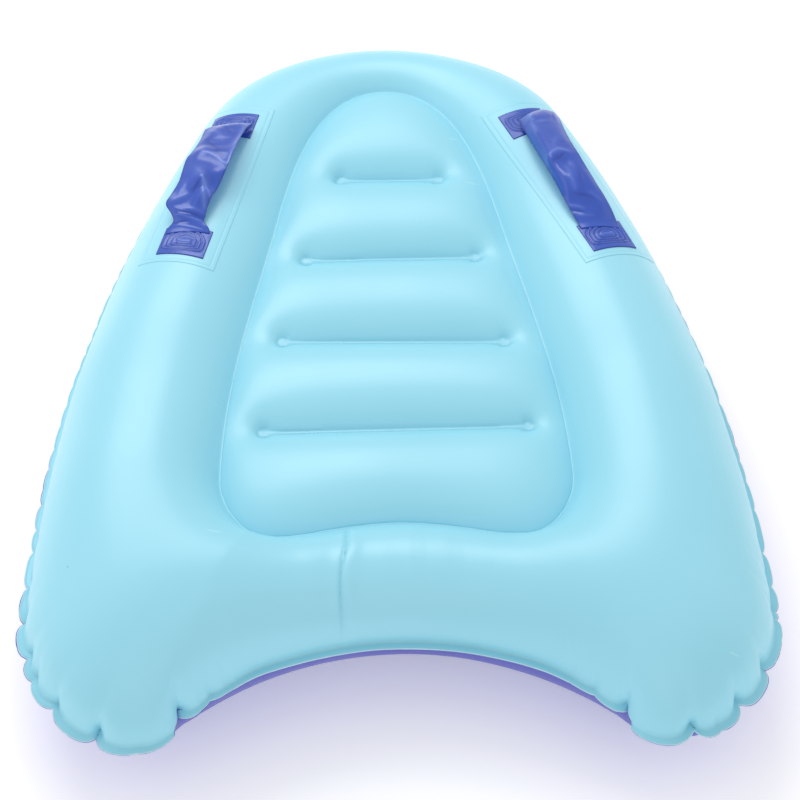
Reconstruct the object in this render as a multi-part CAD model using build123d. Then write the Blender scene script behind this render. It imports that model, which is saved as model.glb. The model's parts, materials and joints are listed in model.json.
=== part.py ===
from build123d import *
from math import asin, cos, pi, radians, sin, sqrt, tan
import os

os.makedirs("parts", exist_ok=True)

# An inflatable bodyboard: a welded air ring round a tethered air mattress, two soft carry
# handles and two air valves. +Y is the nose, +X the rider's right, +Z up. The origin is on
# the floor under the middle of the board. Lengths are millimetres, angles degrees.

# sheet and weld
skin = 0.6  # PVC sheet
weld_bite = 0.05  # how far a welded piece sinks into the sheet below it
flange_width = 7.0  # welded edge outside the seam
lip_width = 5.0  # lap weld round the mattress
float_gap = 0.3  # smallest gap between pieces that move past each other

# outer seam, measured on the middle plane
board_length = 782.0
board_width = 608.0
shoulder_half_width = 174.0
shoulder_setback = 99.0  # behind the nose
shoulder_turn = 24.5  # of the seam off straight astern
widest_setback = 112.0  # ahead of the lobe tips
lobe_half_spacing = 226.0
flank_half_width = 171.5
flank_setback = 28.0
flank_turn = 35.0
notch_depth = 82.0  # tail bay ahead of the lobe tips

# ring widths between the seam and the mattress, and the tube's greatest half height
nose_ring = 79.0
side_ring = 155.0
tail_ring = 94.0
tube_limit = 80.0
limit_sharpness = 6

# mattress outline
deck_shoulder_half_width = 102.5
deck_shoulder_setback = 173.0  # behind the mattress's own nose
deck_shoulder_turn = 11.0
corner_height = 47.0  # widest point ahead of the mattress's tail edge
corner_inset = 43.5  # corner's foot inside the widest point
corner_sag = 12.5
deck_flank_half_width = 71.5
deck_flank_sag = 9.5
deck_flank_turn = 12.0

# mattress section
weld_height = 35.0  # above and below the middle plane
crown = 22.0  # of the mattress above its weld
crown_edge = 19.0  # round at the mattress's edge
row_setback = 122.0  # first weld row behind the mattress's nose
row_pitch = 101.0
row_half_lengths = (49.0, 82.0, 103.0, 118.5)
row_half_width = 3.0
groove_half_width = 31.0
tether_foot = 6.0

# handles, as seen from above on the right-hand side
pad_length = 36.0
pad_width = 46.0
pad_sheet = 1.2
front_pad_x = 140.0
front_pad_setback = 150.0  # behind the nose
rear_pad_x = 190.0
rear_pad_setback = 311.0
patch_front = 25.0  # patch ahead of the front pad's centre
patch_rear = 27.0  # behind the rear pad's centre
patch_inner = 33.0
patch_outer = 40.0
strap_width = 40.0
strap_thickness = 3.0
strap_rise = 23.0  # of the strap's middle above its ends
strap_gap = 1.0  # between the strap's ends and the risers
riser_height = 12.0
riser_length = 5.0
handle_swing = 30.0

# valves
flange_radius = 18.0
well_radius = 12.0
stem_radius = 6.5
stem_bore = 4.1
stem_lip_radius = 8.5
stem_lip = 2.0
stem_depth = 12.0  # of the stem inside the sheet
stem_travel = 12.0
well_sheet = 0.7
plug_taper = 1.3
plug_depth = 5.0
plug_fit = 0.15
plug_cap = 2.0
plug_hinge = 10.6  # from the valve's axis
tab_width = 5.0
flap_radius = 5.5
flap_sheet = 0.8
plug_swing = 120.0
flap_swing = 60.0

nose_y = board_length / 2
tail_y = -board_length / 2
deck_nose_y = nose_y - nose_ring
deck_tail_y = tail_y + notch_depth + tail_ring
deck_half_width = board_width / 2 - side_ring
row_ys = [deck_nose_y - row_setback - i * row_pitch for i in range(len(row_half_lengths))]
front_pad = Vector(front_pad_x, nose_y - front_pad_setback)
rear_pad = Vector(rear_pad_x, nose_y - rear_pad_setback)


def heading(angle):
    """Unit vector, angle in degrees from +X."""
    return Vector(cos(radians(angle)), sin(radians(angle)))


def outline(keys, inset=0):
    """Smooth spans through (x, y, heading) key points, moved in by a margin, as edges."""
    spans = []
    for (x0, y0, a0), (x1, y1, a1) in zip(keys, keys[1:]):
        start = Vector(x0, y0) + heading(a0 - 90) * inset
        end = Vector(x1, y1) + heading(a1 - 90) * inset
        reach = (end - start).length / 3
        spans.append(Edge.make_bezier(start, start + heading(a0) * reach, end - heading(a1) * reach, end))
    return spans


seam = outline(
    [
        (0, nose_y, 0),
        (shoulder_half_width, nose_y - shoulder_setback, shoulder_turn - 90),
        (board_width / 2, tail_y + widest_setback, -90),
        (lobe_half_spacing, tail_y, -180),
        (flank_half_width, tail_y + flank_setback, 180 - flank_turn),
        (0, tail_y + notch_depth, 180),
    ]
)
deck_keys = [
    (0, deck_nose_y, 0),
    (deck_shoulder_half_width, deck_nose_y - deck_shoulder_setback, deck_shoulder_turn - 90),
    (deck_half_width, deck_tail_y + corner_height, -90),
    (deck_half_width - corner_inset, deck_tail_y - corner_sag, -180),
    (deck_flank_half_width, deck_tail_y - deck_flank_sag, 180 - deck_flank_turn),
    (0, deck_tail_y, 180),
]
deck_wire = Wire(outline(deck_keys))
SPAN_STEPS = (6, 8, 7, 3, 5)


def ring_stations():
    """Pairs of a seam point and the nearest mattress point, from the nose to the tail."""
    points = []
    for span, steps in zip(seam, SPAN_STEPS):
        points += [span.position_at(i / steps) for i in range(steps)]
    points.append(Vector(0, tail_y + notch_depth))
    pairs = []
    for point in points:
        foot = deck_wire.closest_points(Vertex(point))[0]
        if abs(point.X) < 1e-6:
            foot = Vector(0, foot.Y)
        pairs.append((point, foot))
    return pairs


stations = ring_stations()


def tube(width):
    """Half height and crest place of the inflated ring where it is this wide."""
    radius = (width**2 + weld_height**2) / (2 * width)
    height = (radius**-limit_sharpness + tube_limit**-limit_sharpness) ** (-1 / limit_sharpness)
    outer = min(height, width / 2)
    return height, width - outer, outer


QUARTER = 4 / 3 * tan(pi / 8)  # handle of a quarter ellipse


def arch(place, width, lift, seam_z=0):
    """The ring's upper line raised by lift: seam to crest, then crest to weld."""
    height, crest, outer = tube(width)
    rise = asin(weld_height / height)
    top = height + lift
    side = outer + lift
    inner = crest / cos(rise) + lift
    reach = 4 / 3 * tan((pi / 2 - rise) / 4)
    foot = crest - inner * cos(rise)
    seam_side = Edge.make_bezier(
        place(crest + side, seam_z),
        place(crest + side, seam_z + QUARTER * (top - seam_z)),
        place(crest + QUARTER * side, top),
        place(crest, top),
    )
    weld_side = Edge.make_bezier(
        place(crest, top),
        place(crest - reach * inner, top),
        place(foot + reach * inner * sin(rise), top * sin(rise) + reach * top * cos(rise)),
        place(foot, top * sin(rise)),
    )
    return seam_side, weld_side


def ring_place(point, foot):
    """Puts (distance out from the mattress edge, height) in the station's upright plane."""
    out = (point - foot).normalized()
    return lambda s, z: foot + out * s + Vector(0, 0, z)


def straight(corners):
    """Straight edges from corner to corner."""
    return [Edge.make_line(a, b) for a, b in zip(corners, corners[1:])]


def skin_section(point, foot):
    """Sheet of the upper ring half: flange, arch and the lap under the mattress's own lip."""
    place = ring_place(point, foot)
    width = (point - foot).length
    outer_seam, outer_weld = arch(place, width, 0, skin)
    inner_seam, inner_weld = arch(place, width, -skin)
    rim = place(width + flange_width, 0)
    rim_top = place(width + flange_width, skin)
    lip_top = place(-lip_width, weld_height)
    lip_under = place(-lip_width, weld_height - skin)
    edges = straight([rim, rim_top, outer_seam @ 0]) + [outer_seam, outer_weld]
    edges += straight([outer_weld @ 1, lip_top, lip_under, inner_weld @ 1])
    edges += [inner_weld, inner_seam] + straight([inner_seam @ 0, rim])
    return Wire(edges)


def core_section(point, foot, lift):
    """Everything under the ring's upper line raised by lift, down to the middle plane."""
    place = ring_place(point, foot)
    seam_side, weld_side = arch(place, (point - foot).length, lift, skin)
    high = seam_side @ 0
    low = weld_side @ 1
    base = [Vector(low.X, low.Y, 0), Vector(high.X, high.Y, 0)]
    edges = [seam_side, weld_side] + straight([low] + base + [high])
    return Wire(edges)


def core(lift, first, last):
    """Solid ring half between two stations, for shaping what lies on the ring."""
    return Solid.make_loft([core_section(*pair, lift) for pair in stations[first : last + 1]], ruled=True)


def both_sides(solid):
    return solid + mirror(solid, about=Plane.YZ)


def flipped(solid):
    return mirror(solid, about=Plane.XY)


def ring_height(spot):
    """Height of the ring's upper surface over a spot on the middle plane."""
    foot = deck_wire.closest_points(Vertex(spot))[0]
    out = (spot - foot).normalized()
    ray = Edge.make_line(spot, foot + out * board_width)
    width = (Wire(seam).closest_points(ray)[0] - foot).length
    height, crest, outer = tube(width)
    along = (spot - foot).length - crest
    if along < 0:
        outer = crest / sqrt(1 - (weld_height / height) ** 2)
    return height * sqrt(1 - (along / outer) ** 2)


def deck_face(inset=0):
    """Flat face inside the mattress's outline, moved in by a margin."""
    wire = Wire(outline(deck_keys, inset))
    return Face(Wire(wire.edges() + mirror(wire, about=Plane.YZ).edges()))


def raised(face, low, height):
    """Upright solid over a flat face, from low up."""
    return Pos(0, 0, low) * extrude(face, amount=height, dir=(0, 0, 1))


# ring and mattress skins


def ring_top():
    return both_sides(Solid.make_loft([skin_section(*pair) for pair in stations], ruled=True))


def groove(half_length, row_y, grow):
    """Cutter for one weld row: a channel with round flanks and a funnel at each end."""
    low = row_half_width + grow
    high = groove_half_width + grow
    base = weld_height + (skin if grow == 0 else -skin)
    floor_z = weld_height + skin
    top = weld_height + crown + skin
    flank = Edge.make_bezier(
        Vector(low, 0, floor_z),
        Vector(low, 0, floor_z + crown / 2),
        Vector(low + (high - low) * 0.4, 0, top - 1),
        Vector(high, 0, top),
    )
    roof = top + crown
    shell = straight([Vector(high, 0, top), Vector(high, 0, roof), Vector(0, 0, roof)])
    shell += straight([Vector(0, 0, roof), Vector(0, 0, base), Vector(low, 0, base)])
    if grow:
        shell += straight([Vector(low, 0, base), Vector(low, 0, floor_z)])
    half = Face(Wire([flank] + shell))
    end = revolve(half, axis=Axis.Z)
    turned = Rot(0, 0, 90) * half
    channel = extrude(turned, amount=half_length, dir=(1, 0, 0), both=True)
    channel += mirror(channel, about=Plane.XZ)
    return Pos(0, row_y) * (channel + Pos(half_length) * end + Pos(-half_length) * end)


def cushion(inset, grow):
    """Crowned mattress body with its weld rows, inset from the outside surface."""
    face = deck_face(lip_width + inset)
    height = crown + skin - inset
    body = raised(face, weld_height, height)
    rim = body.faces().sort_by(Axis.Z)[-1].edges()
    body = fillet(rim, crown_edge - inset)
    for half_length, row_y in zip(row_half_lengths, row_ys):
        body -= groove(half_length, row_y, grow)
    return body


def mattress_skin():
    lap = raised(deck_face(), weld_height, skin)
    lap -= raised(deck_face(lip_width), weld_height, skin)
    return lap + cushion(0, 0) - cushion(skin, 1.5 * skin)


def chamber_wall():
    tall = weld_height - skin
    outside = raised(deck_face(lip_width / 2), -tall, 2 * tall)
    return outside - raised(deck_face(lip_width / 2 + skin), -tall, 2 * tall)


def tether(half_length, row_y):
    """Upright web with a foot at each end, welded under a row."""
    web = Box(2 * half_length, skin, 2 * weld_height)
    foot = Pos(0, 0, weld_height - skin / 2) * Box(2 * half_length, tether_foot, skin)
    return Pos(0, row_y) * (web + foot + flipped(foot))


# handles, built on the right-hand side and mirrored for the left

chord = (rear_pad - front_pad).normalized()
across = Vector(-chord.Y, chord.X)
chord_plane = Plane(origin=front_pad, x_dir=chord, z_dir=(0, 0, 1))
pad_gap = (rear_pad - front_pad).length
HANDLE_STATIONS = (1, SPAN_STEPS[0] + SPAN_STEPS[1])


def handle_block(start, end, low, high):
    """Tall block over the ring: along the handle from its front pad's centre, and across it."""
    block = Box(end - start, high - low, board_width, align=(Align.MIN, Align.MIN, Align.MIN))
    return chord_plane * Pos(start, low) * block


patch_core = core(skin, *HANDLE_STATIONS)
pad_core = core(skin + pad_sheet, *HANDLE_STATIONS)


def handle_patch():
    block = handle_block(-patch_front, pad_gap + patch_rear, -patch_inner, patch_outer)
    return (patch_core & block) - core(-weld_bite, *HANDLE_STATIONS)


def hinge_point(spot, step):
    """Where the strap's swing line leaves a pad, at the middle of its riser's face."""
    point = spot + chord * step
    return point + Vector(0, 0, ring_height(point) + skin + pad_sheet + riser_height)


front_hinge = hinge_point(front_pad, pad_length / 2)
rear_hinge = hinge_point(rear_pad, -pad_length / 2)


def anchor(centre, side, hinge):
    """Welded end pad with the folded riser that the strap leaves from. side is +1 in front."""
    pad = pad_core & handle_block(
        centre - pad_length / 2, centre + pad_length / 2, -pad_width / 2, pad_width / 2
    )
    pad -= core(skin - weld_bite, *HANDLE_STATIONS)
    face = centre + side * pad_length / 2
    back = face - side * riser_length
    riser = handle_block(min(face, back), max(face, back), -strap_width / 2, strap_width / 2)
    riser &= Pos(0, 0, hinge.Z + strap_thickness - board_width) * Box(
        2 * board_width, 2 * board_length, 2 * board_width
    )
    riser -= core(skin + pad_sheet - weld_bite, *HANDLE_STATIONS)
    return pad + riser


def strap():
    """Soft strap from riser to riser, arched over the ring."""
    run = rear_hinge - front_hinge
    plane = Plane(origin=front_hinge, x_dir=run, z_dir=run.cross(Vector(0, 0, 1)))
    start = strap_gap
    end = run.length - strap_gap
    lean = run.length * 0.12
    control = strap_rise / 0.75
    under = Edge.make_bezier((start, 0), (start + lean, control), (end - lean, control), (end, 0))
    over = Edge.make_bezier(
        (end, strap_thickness),
        (end - lean, control + strap_thickness),
        (start + lean, control + strap_thickness),
        (start, strap_thickness),
    )
    edges = [under] + straight([(end, 0), (end, strap_thickness)])
    edges += [over] + straight([(start, strap_thickness), (start, 0)])
    band = extrude(Face(Wire(edges)), amount=strap_width / 2, both=True)
    return plane * band


# valves, built pointing up along +Z with the sheet's outside surface at z = 0


def valve_stem():
    """Tube with a flat outer lip and a tab beside it that the plug's hinge is moulded on."""
    tube_body = Pos(0, 0, -stem_depth) * Cylinder(
        stem_radius, stem_depth + stem_lip, align=(Align.CENTER, Align.CENTER, Align.MIN)
    )
    lip = Cylinder(stem_lip_radius, stem_lip, align=(Align.CENTER, Align.CENTER, Align.MIN))
    tab = Box(
        plug_hinge - float_gap, tab_width, stem_lip - float_gap, align=(Align.MIN, Align.CENTER, Align.MIN)
    )
    bore = Cylinder(stem_bore, 4 * stem_depth)
    return tube_body + lip + tab - bore


def valve_plug():
    """Flip cap with a tapered spigot; its tab reaches the hinge beside the lip."""
    cap = Pos(0, 0, stem_lip + float_gap / 3) * Cylinder(
        stem_lip_radius, plug_cap, align=(Align.CENTER, Align.CENTER, Align.MIN)
    )
    tab = Pos(0, 0, stem_lip + float_gap / 3) * Box(
        plug_hinge, tab_width, plug_cap, align=(Align.MIN, Align.CENTER, Align.MIN)
    )
    top = stem_bore - plug_fit
    spigot = Pos(0, 0, stem_lip + float_gap / 3 - plug_depth / 2) * Cone(top - plug_taper, top, plug_depth)
    return cap + tab + spigot


def valve_flap():
    """One-way flap under the stem, with its living hinge at +X."""
    flap = Cylinder(flap_radius, flap_sheet, align=(Align.CENTER, Align.CENTER, Align.MAX))
    return Pos(0, 0, -stem_depth - float_gap / 3) * flap


def valve_well():
    """Thin rolling wall from the flange's hole down to the stem's inner end."""
    inner = stem_radius + float_gap / 3
    depth = stem_depth - float_gap
    outline_points = [
        Vector(well_radius, 0, -skin - float_gap),
        Vector(well_radius - well_sheet, 0, -skin - float_gap),
        Vector(inner, 0, -depth + well_sheet),
        Vector(inner, 0, -depth),
        Vector(inner + well_sheet, 0, -depth),
        Vector(well_radius, 0, -skin - float_gap),
    ]
    return revolve(Face(Wire(straight(outline_points))), axis=Axis.Z)


def ring_flange():
    """Valve flange shaped to the nose of the ring, under the middle plane."""
    sheet = core(flap_sheet, 0, SPAN_STEPS[0]) - core(-weld_bite, 0, SPAN_STEPS[0])
    disc = Cylinder(flange_radius, 4 * tube_limit) - Cylinder(well_radius, 4 * tube_limit)
    return flipped(both_sides(sheet) & (Pos(ring_valve.X, ring_valve.Y) * disc))


def deck_flange():
    disc = Cylinder(flange_radius, flap_sheet) - Cylinder(well_radius, flap_sheet)
    middle = deck_valve.Z + weld_bite - flap_sheet / 2
    return Pos(deck_valve.X, deck_valve.Y, middle) * disc


nose_height, nose_crest, nose_side = tube(nose_ring)
ring_valve = Vector(0, deck_nose_y + nose_crest, -nose_height)
deck_valve = Vector(0, (row_ys[0] + row_ys[1]) / 2, -(weld_height + crown + skin))


def well_hole(valve):
    return Pos(valve.X, valve.Y, -tube_limit) * Cylinder(well_radius, 2 * tube_limit)


def place_valve(solid, valve):
    return Pos(*valve) * flipped(solid)


lift = max(tube((point - foot).length)[0] for point, foot in stations)


def save(name, solid):
    export_step(Pos(0, 0, lift) * solid, f"parts/{name}.step")


top_skin = ring_top()
save("ring_top_skin", top_skin)
save("ring_bottom_skin", flipped(top_skin) - well_hole(ring_valve))
deck = mattress_skin()
save("deck_panel", deck)
save("hull_panel", flipped(deck) - well_hole(deck_valve))
save("chamber_wall", chamber_wall())
for number, (half_length, row_y) in enumerate(zip(row_half_lengths, row_ys), 1):
    save(f"deck_tether_{number}", tether(half_length, row_y))

right_handle = {
    "patch": handle_patch(),
    "front_anchor": anchor(0, 1, front_hinge),
    "rear_anchor": anchor(pad_gap, -1, rear_hinge),
    "strap": strap(),
}
for name, solid in right_handle.items():
    save(f"right_handle_{name}", solid)
    save(f"left_handle_{name}", mirror(solid, about=Plane.YZ))

save("ring_valve_flange", ring_flange())
save("deck_valve_flange", deck_flange())
for name, valve in (("ring_valve", ring_valve), ("deck_valve", deck_valve)):
    save(f"{name}_stem", place_valve(valve_stem(), valve))
    save(f"{name}_plug", place_valve(valve_plug(), valve))
    save(f"{name}_flap", place_valve(valve_flap(), valve))
    save(f"{name}_well", place_valve(valve_well(), valve))

# where and how far the pieces move, in the part's own frame
up = Vector(0, 0, lift)
print("handle hinge line", front_hinge + up, rear_hinge + up, "swing", handle_swing, "each way")
for name, valve in (("ring_valve", ring_valve), ("deck_valve", deck_valve)):
    side = Vector(plug_hinge, 0, -stem_lip - float_gap / 3)
    inner_side = Vector(flap_radius, 0, stem_depth + float_gap / 3)
    print(name, "stem slides down", stem_travel)
    print(name, "plug hinge", valve + side + up, "opens", plug_swing)
    print(name, "flap hinge", valve + inner_side + up, "opens", flap_swing)
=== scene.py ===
# %% [markdown]
# # An inflatable bodyboard
# The board is three kinds of plastic sheet welded together: an outer air ring, a tethered mattress
# in the middle, and two soft carry handles. The rigid model gives every size and every joint, and
# this lesson gives each sheet the look of thin vinyl under pressure.
#
# The first cell loads that model. It stays where it is, and everything made here is laid on it.

# %% Load the frame
import json
import math

import bmesh
import bpy
import numpy as np
from mathutils import Matrix, Vector
from mathutils.bvhtree import BVHTree
from mathutils.geometry import delaunay_2d_cdt


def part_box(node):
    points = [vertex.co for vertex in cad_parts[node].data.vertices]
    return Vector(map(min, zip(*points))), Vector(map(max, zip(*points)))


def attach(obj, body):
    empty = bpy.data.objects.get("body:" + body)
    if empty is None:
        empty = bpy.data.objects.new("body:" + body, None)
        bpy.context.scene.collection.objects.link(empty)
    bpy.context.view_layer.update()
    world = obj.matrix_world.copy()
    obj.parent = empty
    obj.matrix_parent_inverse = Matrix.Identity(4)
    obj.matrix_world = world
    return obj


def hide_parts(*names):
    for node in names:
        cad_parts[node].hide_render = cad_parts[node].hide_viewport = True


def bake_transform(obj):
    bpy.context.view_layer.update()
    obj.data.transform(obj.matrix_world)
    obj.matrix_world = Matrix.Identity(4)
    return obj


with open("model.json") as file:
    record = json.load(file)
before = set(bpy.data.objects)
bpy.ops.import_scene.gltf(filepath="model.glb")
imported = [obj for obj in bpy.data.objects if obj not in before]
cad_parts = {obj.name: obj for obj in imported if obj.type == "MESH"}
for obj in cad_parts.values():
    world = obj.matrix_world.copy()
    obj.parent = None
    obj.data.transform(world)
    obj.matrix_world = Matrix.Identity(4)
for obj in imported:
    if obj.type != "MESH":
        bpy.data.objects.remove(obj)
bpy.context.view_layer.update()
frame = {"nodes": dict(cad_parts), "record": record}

MM = 0.001

# %% [markdown]
# ## Where the camera and the lamps stand
# The board is shown from behind its tail, from about fifty degrees above the floor, with a long
# lens from two metres so that its far end barely shrinks. A long lens is how a catalogue shows a
# flat object: a short one would swell the tail.

# %% Camera
ring_low, ring_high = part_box("ring_top_skin")
MIDDLE = ring_low.z  # height of the welded seam above the floor

CAMERA_ELEVATION = math.radians(48.9)
CAMERA_TURN = math.radians(1.84)
CAMERA_ROLL = math.radians(0.6)
CAMERA_DISTANCE = 2.0
CAMERA_LENS = 99.6
AIM_RIGHT = 0.0039  # small turns of the lens off the board's middle, as tangents
AIM_UP = -0.0198


def add_camera():
    back = Vector(
        (
            -math.cos(CAMERA_ELEVATION) * math.sin(CAMERA_TURN),
            -math.cos(CAMERA_ELEVATION) * math.cos(CAMERA_TURN),
            math.sin(CAMERA_ELEVATION),
        )
    )
    right = Vector((math.cos(CAMERA_TURN), -math.sin(CAMERA_TURN), 0))
    up = back.cross(right)
    forward = (-back + right * AIM_RIGHT + up * AIM_UP).normalized()
    right = forward.cross(up).normalized()
    up = right.cross(forward)
    data = bpy.data.cameras.new("catalogue_camera")
    data.lens = CAMERA_LENS
    data.clip_end = 50
    camera = bpy.data.objects.new("catalogue_camera", data)
    bpy.context.scene.collection.objects.link(camera)
    turn = Matrix((right, up, -forward)).transposed().to_4x4()
    place = Matrix.Translation(back * CAMERA_DISTANCE + Vector((0, 0, MIDDLE)))
    camera.matrix_world = place @ turn @ Matrix.Rotation(CAMERA_ROLL, 4, "Z")
    bpy.context.scene.camera = camera
    return camera


camera = add_camera()
print("camera at", tuple(round(c, 3) for c in camera.location))

# %% [markdown]
# A white sweep and wide soft lamps make the glossy sheet read as round: one large lamp above the
# nose for the long highlights, one low fill from the tail, and two side panels that draw soft lines
# along the tubes. A point lamp would leave small hard spots that vinyl in a studio doesn't show.

# %% Lamps and floor
# place, width and height of the panel, power
LAMPS = {
    "over_nose": ((-0.5, 1.5, 2.0), 2.0, 1.2, 26.0),
    "from_tail": ((0.2, -2.2, 1.6), 2.2, 1.4, 5.0),
    "left_panel": ((-2.2, 0.2, 1.2), 1.2, 2.2, 5.0),
    "right_panel": ((2.2, 0.2, 1.2), 1.0, 1.8, 2.0),
}


def add_lamp(name, place, width, height, power):
    data = bpy.data.lights.new(name, "AREA")
    data.shape = "RECTANGLE"
    data.size = width
    data.size_y = height
    data.energy = power
    lamp = bpy.data.objects.new(name, data)
    lamp.location = place
    lamp.rotation_euler = (-Vector(place)).to_track_quat("-Z", "Y").to_euler()
    bpy.context.scene.collection.objects.link(lamp)
    return lamp


for name, facts in LAMPS.items():
    add_lamp(name, *facts)
print("lamps and their watts", {name: facts[3] for name, facts in LAMPS.items()})


def add_world(strength):
    world = bpy.data.worlds.new("white_studio")
    world.use_nodes = True
    sky = world.node_tree.nodes["Background"]
    sky.inputs["Color"].default_value = (1.0, 1.0, 1.0, 1.0)
    sky.inputs["Strength"].default_value = strength
    bpy.context.scene.world = world


add_world(0.68)
bpy.context.scene.view_settings.view_transform = "Standard"
bpy.context.scene.view_settings.look = "None"


def new_object(name, verts, faces):
    """Smooth mesh object from arrays of corners, in metres, and lists of their numbers."""
    mesh = bpy.data.meshes.new(name)
    mesh.from_pydata([tuple(v) for v in verts], [], [tuple(f) for f in faces])
    mesh.validate()
    mesh.update()
    mesh.polygons.foreach_set("use_smooth", [True] * len(mesh.polygons))
    obj = bpy.data.objects.new(name, mesh)
    bpy.context.scene.collection.objects.link(obj)
    return obj


FLOOR_REACH = 12.0
floor = new_object(
    "studio_floor",
    [(-FLOOR_REACH, -FLOOR_REACH, 0), (FLOOR_REACH, -FLOOR_REACH, 0),
     (FLOOR_REACH, FLOOR_REACH, 0), (-FLOOR_REACH, FLOOR_REACH, 0)],
    [(0, 1, 2, 3)],
)

# %% [markdown]
# ## The outline
# Two closed curves draw the whole board from above: the outer seam, where the top and bottom sheets
# of the ring are welded, and the edge of the mattress. Each is a handful of points with a heading,
# joined by Bezier spans, the same ones that the rigid model uses. A dense polyline of each is all
# that the later steps need.

# %% Seam and mattress curves
FLANGE = 7 * MM
NOSE_Y = ring_high.y - FLANGE
TAIL_Y = -NOSE_Y
HALF_WIDTH = 304 * MM
NOTCH_Y = TAIL_Y + 82 * MM
DECK_NOSE_Y = NOSE_Y - 79 * MM
DECK_TAIL_Y = NOTCH_Y + 94 * MM
DECK_HALF = HALF_WIDTH - 155 * MM
WELD = 35 * MM  # height of the mattress weld above the middle plane
CROWN = 22 * MM

# each key is a place and the heading of the curve there, in degrees
SEAM_KEYS = [
    (0, NOSE_Y, 0),
    (174 * MM, NOSE_Y - 99 * MM, -65.5),
    (HALF_WIDTH, TAIL_Y + 112 * MM, -90),
    (226 * MM, TAIL_Y, -180),
    (171.5 * MM, TAIL_Y + 28 * MM, -215),
    (0, NOTCH_Y, -180),
]
DECK_KEYS = [
    (0, DECK_NOSE_Y, 0),
    (102.5 * MM, DECK_NOSE_Y - 173 * MM, -79),
    (DECK_HALF, DECK_TAIL_Y + 47 * MM, -90),
    (DECK_HALF - 43.5 * MM, DECK_TAIL_Y - 12.5 * MM, -180),
    (71.5 * MM, DECK_TAIL_Y - 9.5 * MM, -192),
    (0, DECK_TAIL_Y, -180),
]


def heading(degrees):
    return np.array([math.cos(math.radians(degrees)), math.sin(math.radians(degrees))])


def half_curve(keys, steps=400):
    """Right-hand half of an outline, from the nose to the tail, as a dense polyline."""
    line = []
    for (x0, y0, a0), (x1, y1, a1) in zip(keys, keys[1:]):
        start, end = np.array([x0, y0]), np.array([x1, y1])
        reach = np.linalg.norm(end - start) / 3
        controls = [start, start + heading(a0) * reach, end - heading(a1) * reach, end]
        t = np.linspace(0, 1, steps, endpoint=False)[:, None]
        weights = [(1 - t) ** 3, 3 * t * (1 - t) ** 2, 3 * t * t * (1 - t), t**3]
        line.append(sum(w * c for w, c in zip(weights, controls)))
    line.append(np.array([keys[-1][:2]]))
    return np.concatenate(line)


def lengths_along(line):
    return np.r_[0, np.cumsum(np.linalg.norm(np.diff(line, axis=0), axis=1))]


def resampled(line, count, crowding=None):
    """The same curve with count steps, even or closer together where crowding is high."""
    along = lengths_along(line)
    want = np.linspace(0, along[-1], count + 1)
    if crowding is not None:
        spent = np.r_[0, np.cumsum(np.diff(along) * crowding(along[1:]))]
        want = np.interp(np.linspace(0, spent[-1], count + 1), spent, along)
    return np.stack([np.interp(want, along, line[:, k]) for k in range(line.shape[1])], 1)


def nearest_on(line, points):
    """For each point, the nearest point of a polyline."""
    start, step = line[:-1], np.diff(line, axis=0)
    size = (step**2).sum(1)
    found = []
    for point in points:
        t = np.clip(((point - start) * step).sum(1) / size, 0, 1)
        foot = start + step * t[:, None]
        found.append(foot[((foot - point) ** 2).sum(1).argmin()])
    return np.array(found)


COLUMNS = 520  # steps along half the seam


def crowding(along):
    """Closer steps round the lobe, where the seam gathers, and across the tail, where it is creased."""
    return 1 + 0.8 * ((along > 0.68) & (along < 1.06)) + 1.6 * (along > 1.08)


seam_half = resampled(half_curve(SEAM_KEYS), COLUMNS, crowding)
deck_half = half_curve(DECK_KEYS)
foot_half = nearest_on(deck_half, seam_half)
foot_half[[0, -1], 0] = 0.0
print("half seam", round(lengths_along(seam_half)[-1], 4), "m")

# %% [markdown]
# ## The shape that air gives
# Air pushes the sheet out until every strip across the ring is an arc. For a long straight tube the
# square of the height obeys one simple law: its curvature is minus two everywhere. Solving that law
# over the whole ring, with the seam held at zero and the mattress weld at its own height, rounds the
# lobes and blends them into the tail as one skin. A loft of separate arcs would leave creases where
# the wide lobes meet the narrow tail, so the height is solved instead.

# %% Solve the ring's height
ROWS = 44


def both_halves(half):
    """Right half from nose to tail, then the left half back to the nose, without repeats."""
    mirrored = half[-2:0:-1].copy()
    mirrored[:, 0] *= -1
    return np.concatenate([half, mirrored])


seam = both_halves(seam_half)
foot = both_halves(foot_half)
around = len(seam)
width = np.linalg.norm(seam - foot, axis=1)
outward = (seam - foot) / width[:, None]


def tube_rows(b):
    """Places across a ring of width b that are evenly spaced along its arc, 0 at the weld."""
    radius = (b * b + WELD * WELD) / (2 * b)
    middle = b - radius
    start = math.atan2(WELD, -middle)
    angle = np.linspace(start, 0, ROWS + 1)
    return middle + radius * np.cos(angle)


across = np.stack([tube_rows(b) for b in width])
plan = foot[:, None, :] + outward[:, None, :] * across[..., None]


def cotangents(a, b, c):
    """Cotangent of the angle at a in each triangle a, b, c, and twice its area."""
    u, v = b - a, c - a
    area = np.abs(u[:, 0] * v[:, 1] - u[:, 1] * v[:, 0])
    return (u * v).sum(1) / np.maximum(area, 1e-12), area


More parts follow.
